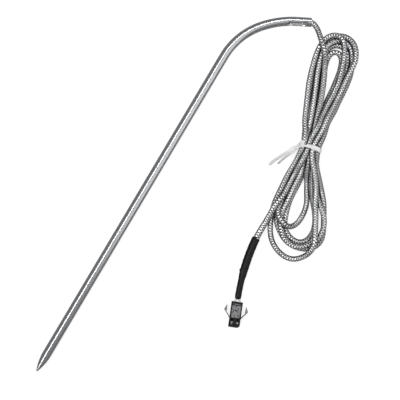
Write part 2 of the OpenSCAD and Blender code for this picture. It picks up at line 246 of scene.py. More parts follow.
@dataclass(frozen=True)
class Finish:
    """A finish: what it is called, its colour and how it takes light.

    The plain one is a moulded surface with a fine grain. The other kinds draw their own
    pattern.
    """

    name: str
    colour: str
    roughness: float = 0.45
    metallic: float = 0.0
    relief: float = 0.01
    grain: float = 0.25
    specular: float = 0.5

    def build(self) -> bpy.types.Material:
        """Makes the material.

        Returns:
            The material.
        """
        material = bpy.data.materials.new(self.name)
        material.use_nodes = True
        tree = material.node_tree
        tree.nodes.clear()
        shader = add_node(tree, "BsdfPrincipled", {
            "Base Color": self.colour, "Roughness": self.roughness, "Metallic": self.metallic,
            "Specular IOR Level": self.specular})
        add_node(tree, "OutputMaterial", {"Surface": shader})
        self.pattern(tree, shader)
        return material

    def pattern(self, tree: bpy.types.NodeTree, shader: bpy.types.Node) -> None:
        """Draws a grain with the finish's own size.

        Args:
            tree: The material's nodes.
            shader: The surface's shader.
        """
        grain = self.noise(tree, self.grain)
        self.finish_surface(tree, shader, grain, grain)

    def noise(self, tree: bpy.types.NodeTree, size: float, detail: float = 3.0) -> bpy.types.Node:
        """Adds a noise with spots of a size in millimetres, which keeps its place on the piece."""
        where = add_node(tree, "TexCoord")
        return add_node(tree, "TexNoise", {
            "Vector": (where, "Object"), "Scale": 1 / (size * MM), "Detail": detail})

    def finish_surface(self, tree: bpy.types.NodeTree, shader: bpy.types.Node,
                       gloss: bpy.types.Node, height: bpy.types.Node) -> None:
        """Varies the gloss a little and gives the surface its relief.

        Args:
            tree: The material's nodes.
            shader: The surface's shader.
            gloss: The node whose value, about 0.5, varies the roughness.
            height: The node whose value from 0 to 1 is the height.
        """
        rough = add_node(tree, "MapRange", {
            "Value": gloss, "From Min": 0.25, "From Max": 0.75,
            "To Min": self.roughness * 0.8, "To Max": self.roughness * 1.2})
        tree.links.new(rough.outputs[0], shader.inputs["Roughness"])
        bump = add_node(tree, "Bump", {"Height": height, "Distance": self.relief * MM, "Strength": 1.0})
        tree.links.new(bump.outputs[0], shader.inputs["Normal"])


@dataclass(frozen=True)
class DrawnMetal(Finish):
    """Metal that was drawn and polished: fine lines along it and a faint cloudy wear.

    `stretch` is the lines' spacing for their length, and `cloud` the size of worn patches.
    """

    lines: float = 0.15
    stretch: float = 0.02
    cloud: float = 1 / 0.6
    dull: str = "#B2B3B6"

    def pattern(self, tree: bpy.types.NodeTree, shader: bpy.types.Node) -> None:
        """Draws the lines and the cloud on the piece's own lay.

        Args:
            tree: The material's nodes.
            shader: The surface's shader.
        """
        lay = add_node(tree, "Attribute", attribute_name="lay")
        long = add_node(tree, "VectorMath", [(lay, "Vector"), (self.stretch, 1.0, 1.0)], operation="MULTIPLY")
        lines = add_node(tree, "TexNoise", {"Vector": long, "Scale": 1 / (self.lines * MM), "Detail": 4.0})
        cloud = add_node(tree, "TexNoise", {
            "Vector": (lay, "Vector"), "Scale": 1 / (self.cloud * MM), "Detail": 3.0})
        worn = add_node(tree, "Mix", {"Factor": 0.5, "A": lines, "B": cloud})
        tint = add_node(tree, "Mix", {"Factor": lines, 6: self.dull, 7: self.colour}, data_type="RGBA")
        tree.links.new(tint.outputs[2], shader.inputs["Base Color"])
        self.finish_surface(tree, shader, worn, lines)


@dataclass(frozen=True)
class WovenMetal(Finish):
    """A round braid of fine stainless wires: flat bundles that cross over and under.

    The braid is drawn coarser than it is, because the real one would be lost at this size:
    four cells round the cable and 1.16 mm along it, where the real cell is 0.8 mm long. The
    wires in a bundle are drawn 0.25 mm apart, and the real ones about 0.1 mm.
    """

    cells: int = 4
    wires: float = 4.0
    wire_height: float = 0.08
    # The weave's painted shade: from dark_below to bright_above of the height, the colour runs from the gap's
    # near-black to the wire's colour
    dark_below: float = 0.24
    bright_above: float = 0.46
    gap: str = "#0A0A0B"

    def pattern(self, tree: bpy.types.NodeTree, shader: bpy.types.Node) -> None:
        """Draws the braid on the cable's own map, which has one cell for each step of v.

        Bundles run along u + v and along u - v and take turns on top.

        Args:
            tree: The material's nodes.
            shader: The surface's shader.
        """
        def calc(way: str, *values: Any) -> bpy.types.Node:
            """Adds a node that works out one value."""
            return add_node(tree, "Math", list(values), operation=way)

        lay = add_node(tree, "SeparateXYZ", [add_node(tree, "UVMap", uv_map="braid")])
        across = calc("MULTIPLY", (lay, 0), float(self.cells))
        runs = [calc(way, across, (lay, 1)) for way in ("ADD", "SUBTRACT")]
        places = [calc("SUBTRACT", calc("FRACT", run), 0.5) for run in runs]
        turn = calc("FLOORED_MODULO", calc("ADD", *(calc("FLOOR", run) for run in runs)), 2.0)
        side = add_node(tree, "Mix", {"Factor": turn, "A": places[0], "B": places[1]})
        along = add_node(tree, "Mix", {"Factor": turn, "A": places[1], "B": places[0]})
        arches = [calc("COSINE", calc("MULTIPLY", part, math.pi)) for part in (side, along)]
        bundle = calc("MULTIPLY", calc("POWER", arches[0], 0.6), arches[1])
        wave = calc("ABSOLUTE", calc("COSINE", calc("MULTIPLY", side, self.wires * math.pi)))
        height = calc("MULTIPLY_ADD", calc("MULTIPLY", wave, bundle), self.wire_height, bundle)
        # Painted shade: the low parts of the weave take the gap's near-black colour
        weave_painted_light = add_node(tree, "MapRange", {
            "Value": height, "From Min": self.dark_below, "From Max": self.bright_above})
        # Painted shade: bundles that run one way are a little darker than those that cross them
        painted_direction_shade = calc("MULTIPLY_ADD", turn, -0.14, 1.0)
        # Painted shade where another strand lies close, read from the mesh
        free = calc("SUBTRACT", 1.0, (add_node(tree, "Attribute", attribute_name="hollow"), "Fac"))
        painted_light_and_shade = calc("MULTIPLY", calc("MULTIPLY", weave_painted_light, free), painted_direction_shade)
        tint = add_node(tree, "Mix", {"Factor": painted_light_and_shade, 6: self.gap, 7: self.colour}, data_type="RGBA")
        tree.links.new(tint.outputs[2], shader.inputs["Base Color"])
        bump = add_node(tree, "Bump", {"Height": height, "Distance": self.relief * MM, "Strength": 1.0})
        tree.links.new(bump.outputs[0], shader.inputs["Normal"])


@dataclass(frozen=True)
class Shrunk(Finish):
    """Tubing that was shrunk by heat: satin, with soft wrinkles and a fine skin."""

    wrinkle: float = 1 / 0.9
    skin: float = 0.25

    def pattern(self, tree: bpy.types.NodeTree, shader: bpy.types.Node) -> None:
        """Draws the wrinkles with the skin on them.

        Args:
            tree: The material's nodes.
            shader: The surface's shader.
        """
        skin = self.noise(tree, self.skin)
        mixed = add_node(tree, "Mix", {
            "Factor": 0.25, "A": self.noise(tree, self.wrinkle, detail=2.0), "B": skin})
        self.finish_surface(tree, shader, skin, mixed)


@dataclass(frozen=True)
class Mottled(Finish):
    """Plastic with a matt texture from the mould, which holds dust unevenly."""

    dark: str = "#4A4A4C"
    dark_below: float = 0.38
    bright_above: float = 0.58

    def pattern(self, tree: bpy.types.NodeTree, shader: bpy.types.Node) -> None:
        """Draws patches of the grain's size in the two greys.

        Args:
            tree: The material's nodes.
            shader: The surface's shader.
        """
        cloud = self.noise(tree, self.grain)
        patch = add_node(tree, "MapRange", {
            "Value": cloud, "From Min": self.dark_below, "From Max": self.bright_above})
        tint = add_node(tree, "Mix", {"Factor": patch, 6: self.dark, 7: self.colour}, data_type="RGBA")
        tree.links.new(tint.outputs[2], shader.inputs["Base Color"])
        self.finish_surface(tree, shader, cloud, cloud)


@dataclass(frozen=True)
class Milky(Finish):
    """Soft white plastic that lets some light through."""

    depth: float = 0.4
    scatter: float = 0.4

    def pattern(self, tree: bpy.types.NodeTree, shader: bpy.types.Node) -> None:
        """Adds light that scatters under the surface, and soft creases 0.8 mm apart.

        Args:
            tree: The material's nodes.
            shader: The surface's shader.
        """
        shader.inputs["Subsurface Weight"].default_value = self.scatter
        shader.inputs["Subsurface Radius"].default_value = (1.0, 1.0, 1.0)
        shader.inputs["Subsurface Scale"].default_value = self.depth * MM
        super().pattern(tree, shader)


@dataclass(frozen=True)
class Melted(Finish):
    """Clear glass that was melted round a dark chip."""

    clear: float = 0.7

    def pattern(self, tree: bpy.types.NodeTree, shader: bpy.types.Node) -> None:
        """Lets light through and adds a faint flow.

        Args:
            tree: The material's nodes.
            shader: The surface's shader.
        """
        shader.inputs["Transmission Weight"].default_value = self.clear
        super().pattern(tree, shader)


class Finishes(Enum):
    """What each piece is made of."""

    # Food-grade stainless tube, drawn and polished: light grey and softly glossy
    TUBE = DrawnMetal("drawn_stainless_steel", "#D6D7D9", roughness=0.2, metallic=1.0, relief=0.003)
    # The same steel turned to a point: a little brighter, almost a mirror
    TIP = DrawnMetal("turned_stainless_steel", "#DCDDDF", roughness=0.16, metallic=1.0, relief=0.002)
    # Woven stainless wire, drawn coarser than it is: bright on the bundles, with painted shade nearly black
    # between them and where strands lie close
    BRAID = WovenMetal("braided_stainless_wire", "#F8F8F9", roughness=0.3, metallic=1.0, relief=0.14)
    # The braid's end, pressed flat by the crimp: a rough grey metal with a grain of 0.4 mm
    PRESSED_BRAID = Finish(
        "pressed_stainless_braid", "#8F9093", roughness=0.4, metallic=1.0, relief=0.1, grain=0.4)
    # Heat-shrunk polyolefin: satin and nearly black
    SLEEVE = Shrunk("shrunk_polyolefin", "#0B0B0C", roughness=0.4, relief=0.1, specular=0.3)
    # Glass-filled nylon, moulded: black with a fine dull grain
    NYLON = Finish("moulded_black_nylon", "#0E0E0F", roughness=0.42, relief=0.02, specular=0.3)
    # The same nylon in the panel that the mould leaves rough: matt grey, mottled at 0.7 mm
    PANEL = Mottled("spark_eroded_nylon", "#A2A2A4", roughness=0.7, relief=0.05, grain=0.7, specular=0.3)
    # The same nylon in the thin wings, rubbed grey
    WING = Finish("rubbed_grey_nylon", "#87888B", roughness=0.45, relief=0.02)
    # Extruded wire insulation: warm white and smooth
    WIRE = Finish("white_wire_insulation", "#F2F2F0", roughness=0.36, relief=0.006)
    # Fluoropolymer round the cores in the tube: ivory and waxy
    CORE = Finish("ivory_core_insulation", "#D9D2BC", roughness=0.3, relief=0.006)
    # Tinned copper strands: soft silver with a warm cast
    TINNED = Finish("tinned_copper", "#C9C5BC", roughness=0.3, metallic=1.0, relief=0.006)
    # Painted shade on the crimped strands and on a band of the terminals: dark brown metal
    CRIMPED = Finish("dark_metal_painted_shade", "#3A2C24", roughness=0.6, metallic=1.0, relief=0.03)
    # Sheet brass with tin plating, stamped: bright silver with a soft gloss
    TERMINAL = Finish("tin_plated_brass", "#FAF9F6", roughness=0.42, metallic=1.0, relief=0.004)
    # Pressed brass ferrules
    BRASS = Finish("pressed_brass", "#C9A75C", roughness=0.3, metallic=1.0, relief=0.01)
    # Epoxy with metal powder round the sensor: dull grey
    POTTING = Finish("filled_epoxy", "#8B8C8E", roughness=0.55, relief=0.02)
    # The glass bead round the sensor's chip: brown where the chip shows through
    BEAD = Melted("sensor_glass", "#7A4526", roughness=0.06, relief=0.004, grain=1.0)
    # Polyethylene ribbon: white, soft and a little see-through
    TIE = Milky("white_polyethylene", "#FAFAFA", roughness=0.36, relief=0.04, grain=0.8)

    def material(self) -> bpy.types.Material:
        """The finish's material, made once."""
        return bpy.data.materials.get(self.value.name) or self.value.build()


# ---------------------------------------------------------------- modelling by hand


def only(obj: bpy.types.Object | None) -> None:
    """Deselects everything, then selects and activates one object if there is one.

    Args:
        obj: The object.
    """
    bpy.ops.object.select_all(action="DESELECT")
    if obj:
        obj.select_set(True)
        bpy.context.view_layer.objects.active = obj


def dress(obj: bpy.types.Object, finish: Finishes, angle: float = 40.0) -> None:
    """Gives a piece its material and shades it smooth.

    Args:
        obj: The piece.
        finish: Its finish.
        angle: Edges that turn by less than this many degrees are smooth.
    """
    obj.data.materials.clear()
    obj.data.materials.append(finish.material())
    only(obj)
    bpy.ops.object.shade_smooth_by_angle(angle=math.radians(angle))


def settle(obj: bpy.types.Object, body: str, nodes: Iterable[str]) -> bpy.types.Object:
    """Fastens a finished piece to its body.

    Args:
        obj: The piece.
        body: The CAD body that it moves with.
        nodes: The CAD nodes that it stands for.

    Returns:
        The same piece.
    """
    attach(obj, body)
    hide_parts(*nodes)
    log.info("%s: %d faces, rides on %s", obj.name, len(obj.data.polygons), body)
    return obj


def apply_modifier(obj: bpy.types.Object, kind: str, **settings: Any) -> None:
    """Adds a modifier with its settings and applies it.

    Args:
        obj: The piece.
        kind: The modifier's type.
        **settings: Its properties.
    """
    only(obj)
    modifier = obj.modifiers.new(kind.lower(), kind)
    for key, value in settings.items():
        setattr(modifier, key, value)
    bpy.ops.object.modifier_apply(modifier=modifier.name)


def merged_copy(node: str, name: str) -> bpy.types.Object:
    """Copies a CAD node and joins its loose triangles into flat faces.

    Args:
        node: The CAD node.
        name: The copy's name.

    Returns:
        The copy.
    """
    obj = bpy.data.objects.new(name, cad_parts[node].data.copy())
    bpy.context.scene.collection.objects.link(obj)
    only(obj)
    bpy.ops.object.mode_set(mode="EDIT")
    bpy.ops.mesh.select_all(action="SELECT")
    bpy.ops.mesh.remove_doubles(threshold=SAME_PLACE * MM)
    bpy.ops.mesh.dissolve_limited(angle_limit=math.radians(1.0))
    bpy.ops.object.mode_set(mode="OBJECT")
    return obj


def coordinates(obj: bpy.types.Object) -> Points:
    """Reads a mesh's vertices.

    Args:
        obj: The piece.

    Returns:
        Its vertices in the row frame, in millimetres.
    """
    flat = np.empty(3 * len(obj.data.vertices))
    obj.data.vertices.foreach_get("co", flat)
    return flat.reshape(-1, 3) / MM


def move_to(obj: bpy.types.Object, points: Points) -> None:
    """Puts a mesh's vertices where they are given, in millimetres."""
    obj.data.vertices.foreach_set("co", (points * MM).reshape(-1))
    obj.data.update()


def mark_lay(obj: bpy.types.Object, along: Points, around: Points) -> None:
    """Keeps how far along and round a piece each vertex lies, for its finish.

    Args:
        obj: The piece.
        along: The distance along it.
        around: The distance round it.
    """
    lay = obj.data.attributes.new("lay", "FLOAT_VECTOR", "POINT")
    lay.data.foreach_set("vector", (np.column_stack([along, around, 0 * along]) * MM).reshape(-1))


def mark_tube(obj: bpy.types.Object) -> None:
    """Keeps for each vertex how far it lies along the tube and round it."""
    along, around = SHAFT.locate(coordinates(obj))
    mark_lay(obj, along, around * SHAFT.radius)


def new_ring(name: str, radius: float, sides: int, at: Points, heading: float) -> bpy.types.Object:
    """Adds an upright circle in edit mode, all selected.

    Args:
        name: The piece's name.
        radius: The circle's radius.
        sides: Its edges.
        at: Its middle in the row frame.
        heading: The way that it faces in plan, in degrees.

    Returns:
        The piece, in edit mode.
    """
    only(None)
    bpy.ops.mesh.primitive_circle_add(
        vertices=sides, radius=radius * MM, location=[float(v) * MM for v in at],
        rotation=(0, math.pi / 2, math.radians(heading)))
    obj = bpy.context.object
    obj.name = obj.data.name = name
    bpy.ops.object.transform_apply(location=True, rotation=True, scale=True)
    bpy.ops.object.mode_set(mode="EDIT")
    bpy.ops.mesh.select_all(action="SELECT")
    return obj


def push(length: float, heading: float) -> None:
    """Extrudes what is selected along a heading in plan.

    Args:
        length: How far.
        heading: The way in degrees.
    """
    turn = math.radians(heading)
    move = (length * MM * math.cos(turn), length * MM * math.sin(turn), 0)
    bpy.ops.mesh.extrude_region_move(TRANSFORM_OT_translate={"value": move})


def swing(centre: Points, angle: float, steps: int) -> None:
    """Spins what is selected about an upright axis.

    Args:
        centre: A point on the axis, in the row frame.
        angle: The turn in degrees, which the operator takes to the right.
        steps: The number of new rings.
    """
    middle = [float(v) * MM for v in centre]
    bpy.ops.mesh.spin(steps=steps, angle=math.radians(angle), center=middle, axis=(0, 0, 1))


def face_out(obj: bpy.types.Object) -> None:
    """Joins doubles, turns a shell's faces outwards and leaves edit mode.

    Args:
        obj: The piece, in edit mode.
    """
    bpy.ops.mesh.select_all(action="SELECT")
    bpy.ops.mesh.remove_doubles(threshold=SAME_PLACE * MM)
    bpy.ops.mesh.normals_make_consistent(inside=False)
    bpy.ops.object.mode_set(mode="OBJECT")


def along_path(name: str, sections: Points, loop: bool = False, open_ends: bool = False) -> bpy.types.Object:
    """Extrudes a section along a path, one ring after another.

    Args:
        name: The piece's name.
        sections: The rings' points in the row frame, in the order (ring, point, coordinate).
        loop: Whether the last ring closes on the first one.
        open_ends: Whether the ends stay open; else both get a cap.

    Returns:
        The piece.
    """
    only(None)
    bpy.ops.mesh.primitive_circle_add(
        vertices=sections.shape[1], radius=MM, fill_type="NOTHING" if loop or open_ends else "NGON")
    obj = bpy.context.object
    obj.name = obj.data.name = name
    bpy.ops.object.transform_apply(location=True, rotation=True, scale=True)
    move_to(obj, sections[0])
    bpy.ops.object.mode_set(mode="EDIT")
    bpy.ops.mesh.select_all(action="SELECT")
    rings = list(sections[1:]) + ([sections[0]] if loop else [])
    before = sections[0]
    for ring in rings:
        bpy.ops.mesh.extrude_region_move(TRANSFORM_OT_translate={"value": (0, 0, 0)})
        mesh = bmesh.from_edit_mesh(obj.data)
        for vertex in (v for v in mesh.verts if v.select):
            near = int(np.argmin(((before - np.array(vertex.co) / MM) ** 2).sum(1)))
            vertex.co = ring[near] * MM
        before = ring
    face_out(obj)
    return obj


# ---------------------------------------------------------------- the bent tube


@dataclass
class Tube:
    """The stainless tube with its crimp, and the point in its end.

    The crimp is a dent with a flat floor and two ramps, turned from the top towards the
    inside of the bend. `shoulder` is how softly its edges round off, the ripple is what the
    press's ribs leave in its floor, and the lip is the end of the tube that stays round.
    """

    body: str = "probe"
    sides: int = 96
    first_steps: int = 24
    second_steps: int = 90
    mouth_steps: int = 30
    crimp_depth: float = 0.8
    crimp_width: float = 2.2
    crimp_flat: float = 5.4
    ramp_in: float = 1.2
    ramp_out: float = 2.8
    crimp_gap: float = 1.0
    crimp_turn: float = 34.0
    shoulder: float = 0.16
    soft_reach: float = 0.3
    lip: float = 0.3
    ripple: float = 0.16
    ripple_pitch: float = 1.3
    ripple_shift: float = 0.25
    rim: float = 0.12

    def build(self) -> list[bpy.types.Object]:
        """Makes the tube and the point.

        Returns:
            Both pieces.
        """
        return [self.tube(), self.point()]

    def bend(self, place: Place, turn: Bend, steps: int) -> None:
        """Spins the open end through one bend to the right."""
        swing(place.to_row([0, -turn.radius, SHAFT.radius])[0], turn.angle, steps)

    def tube(self) -> bpy.types.Object:
        """Draws the tube, bends it, presses the crimp and gives it its wall.

        Returns:
            The tube.
        """
        start = SHAFT.start.to_row([SHAFT.tip, 0, SHAFT.radius])[0]
        obj = new_ring("tube", SHAFT.radius, self.sides, start, 0)
        push(SHAFT.straight - SHAFT.tip, 0)
        self.bend(SHAFT.after_straight, SHAFT.first, self.first_steps)
        self.bend(SHAFT.after_first, SHAFT.second, self.second_steps)
        for _ in range(self.mouth_steps):
            push(SHAFT.mouth_run / self.mouth_steps, MOUTH_HEADING)
        face_out(obj)
        move_to(obj, self.crimped(coordinates(obj)))
        apply_modifier(obj, "SOLIDIFY", thickness=SHAFT.wall * MM, offset=-1.0)
        self.round_rim(obj)
        mark_tube(obj)
        dress(obj, Finishes.TUBE, angle=50)
        return settle(obj, self.body, ["probe_tube"])

    def round_rim(self, obj: bpy.types.Object) -> None:
        """Bevels the two edges round the mouth.

        Args:
            obj: The tube.
        """
        bpy.ops.object.mode_set(mode="EDIT")
        mesh = bmesh.from_edit_mesh(obj.data)
        points = MOUTH.from_row(np.array([v.co for v in mesh.verts]) / MM)
        bpy.ops.mesh.select_all(action="DESELECT")
        bpy.context.tool_settings.mesh_select_mode = (False, True, False)
        for edge in mesh.edges:
            ends = [points[v.index] for v in edge.verts]
            radii = [math.hypot(p[1], p[2] - SHAFT.radius) for p in ends]
            edge.select_set(all(abs(p[0]) < 0.01 for p in ends) and abs(radii[0] - radii[1]) < 0.1)
        bmesh.update_edit_mesh(obj.data)
        bpy.ops.mesh.bevel(offset=self.rim * MM, segments=3, affect="EDGES")
        bpy.ops.object.mode_set(mode="OBJECT")

    def crimped(self, points: Points) -> Points:
        """Presses the crimp in near the mouth, with soft shoulders.

        Args:
            points: The tube's vertices in the row frame.

        Returns:
            The same vertices after the press.
        """
        local = MOUTH.from_row(points) - [0, 0, SHAFT.radius]
        turn = math.radians(self.crimp_turn)
        press = np.array([0, -math.sin(turn), math.cos(turn)])
        across = local @ np.array([0, math.cos(turn), math.sin(turn)])
        out_end = -self.crimp_gap - self.ramp_out
        in_end = out_end - self.crimp_flat
        rise = np.maximum((local[:, 0] - out_end) / self.ramp_out, (in_end - local[:, 0]) / self.ramp_in)
        floor = SHAFT.radius - self.crimp_depth + self.crimp_depth * np.maximum(rise, 0)
        over = local @ press - floor
        soft = 0.5 * (over + np.sqrt(over**2 + self.shoulder**2))
        soft = soft - 0.5 * self.shoulder * np.exp(-np.abs(over) / self.soft_reach)
        reach = np.abs(across) - self.crimp_width / 2
        grip = 1 - np.clip((reach + self.shoulder) / (2 * self.shoulder), 0, 1)
        grip = grip**2 * (3 - 2 * grip)
        wave = self.ripple * np.cos((across + self.ripple_shift) * 2 * math.pi / self.ripple_pitch)
        soft = soft + wave * (rise < 0) * np.clip(soft / self.soft_reach, 0, 1)
        near = (local[:, 0] > in_end - 2 * self.ramp_in) * (local[:, 0] < -self.lip)
        depth = np.clip(soft, 0, None) * grip * near
        return MOUTH.to_row(local - depth[:, None] * press + [0, 0, SHAFT.radius])

    def point(self) -> bpy.types.Object:
        """Makes the turned point from the CAD's own.

        Returns:
            The point.
        """
        obj = merged_copy("probe_tip", "point")
        mark_tube(obj)
        dress(obj, Finishes.TIP, angle=35)
        return settle(obj, self.body, ["probe_tip"])


# ---------------------------------------------------------------- the cable


def distances(path: Points) -> Points:
    """How far along a path each of its points lies."""
    return np.r_[0, np.cumsum(np.linalg.norm(np.diff(path, axis=0), axis=1))]


def spaced(path: Points, places: Points) -> Points:
    """The points that lie at given distances along a path."""
    s = distances(path)
    return np.column_stack([np.interp(places, s, path[:, k]) for k in range(path.shape[1])])


def even(path: Points, step: float) -> Points:
    """Spaces a path's points evenly.

    Args:
        path: The path.
        step: The spacing, rounded so that it divides the length.

    Returns:
        The new points.
    """
    length = distances(path)[-1]
    return spaced(path, np.linspace(0, length, int(round(length / step)) + 1))


def curve_through(points: Points, step: float) -> Points:
    """Runs one smooth curve through a list of points.

    Args:
        points: The points that it passes.
        step: The spacing of the result.

    Returns:
        Evenly spaced points on a centripetal Catmull-Rom curve.
    """
    c = np.vstack([2 * points[0] - points[1], points, 2 * points[-1] - points[-2]])
    spans = []
    for i in range(1, len(c) - 2):
        p = c[i - 1 : i + 3]
        t = np.r_[0, np.cumsum(np.linalg.norm(np.diff(p, axis=0), axis=1) ** 0.5)]
        u = np.linspace(t[1], t[2], 16, endpoint=False)[:, None]
        a = [((t[k + 1] - u) * p[k] + (u - t[k]) * p[k + 1]) / (t[k + 1] - t[k]) for k in range(3)]
        b = [((t[k + 2] - u) * a[k] + (u - t[k]) * a[k + 1]) / (t[k + 2] - t[k]) for k in range(2)]
        spans.append(((t[2] - u) * b[0] + (u - t[1]) * b[1]) / (t[2] - t[1]))
    return even(np.vstack(spans + [c[-2][None]]), step)


def carried(path: Points) -> tuple[Points, Points]:
    """Carries a section's two axes along a path without twisting them.

    Args:
        path: The path.

    Returns:
        The sideways and the upward axis at each point.
    """
    ahead = np.gradient(path, axis=0)
    ahead /= np.linalg.norm(ahead, axis=1, keepdims=True)
    up = np.array([0.0, 0.0, 1.0])
    ups = []
    for t in ahead:
        up = up - np.dot(up, t) * t
        up /= np.linalg.norm(up)
        ups.append(up)
    ups = np.array(ups)
    return np.cross(ups, ahead), ups


def rings_along(path: Points, radius: Any, sides: int) -> Points:
    """Sets a circle of points round each point of a path.

    Args:
        path: The path.
        radius: The circles' radius, or one for each point in the shape (point, 1, 1).
        sides: The points in a circle.

    Returns:
        The points, in the order (circle, point, coordinate).
    """
    right, up = carried(path)
    angle = np.arange(sides) * 2 * math.pi / sides
    return path[:, None] + radius * (np.cos(angle)[None, :, None] * right[:, None]
                                     + np.sin(angle)[None, :, None] * up[:, None])


@dataclass(frozen=True)
class Run:
    """A run of the cable from one pass through the tie to the next.

    `across` and `height` are its place in the tie's loop where it starts. The first run has
    none, because it starts in the tube's mouth.
    """

    points: tuple[Triple, ...]
    across: float | None = None
    height: float = 0.0


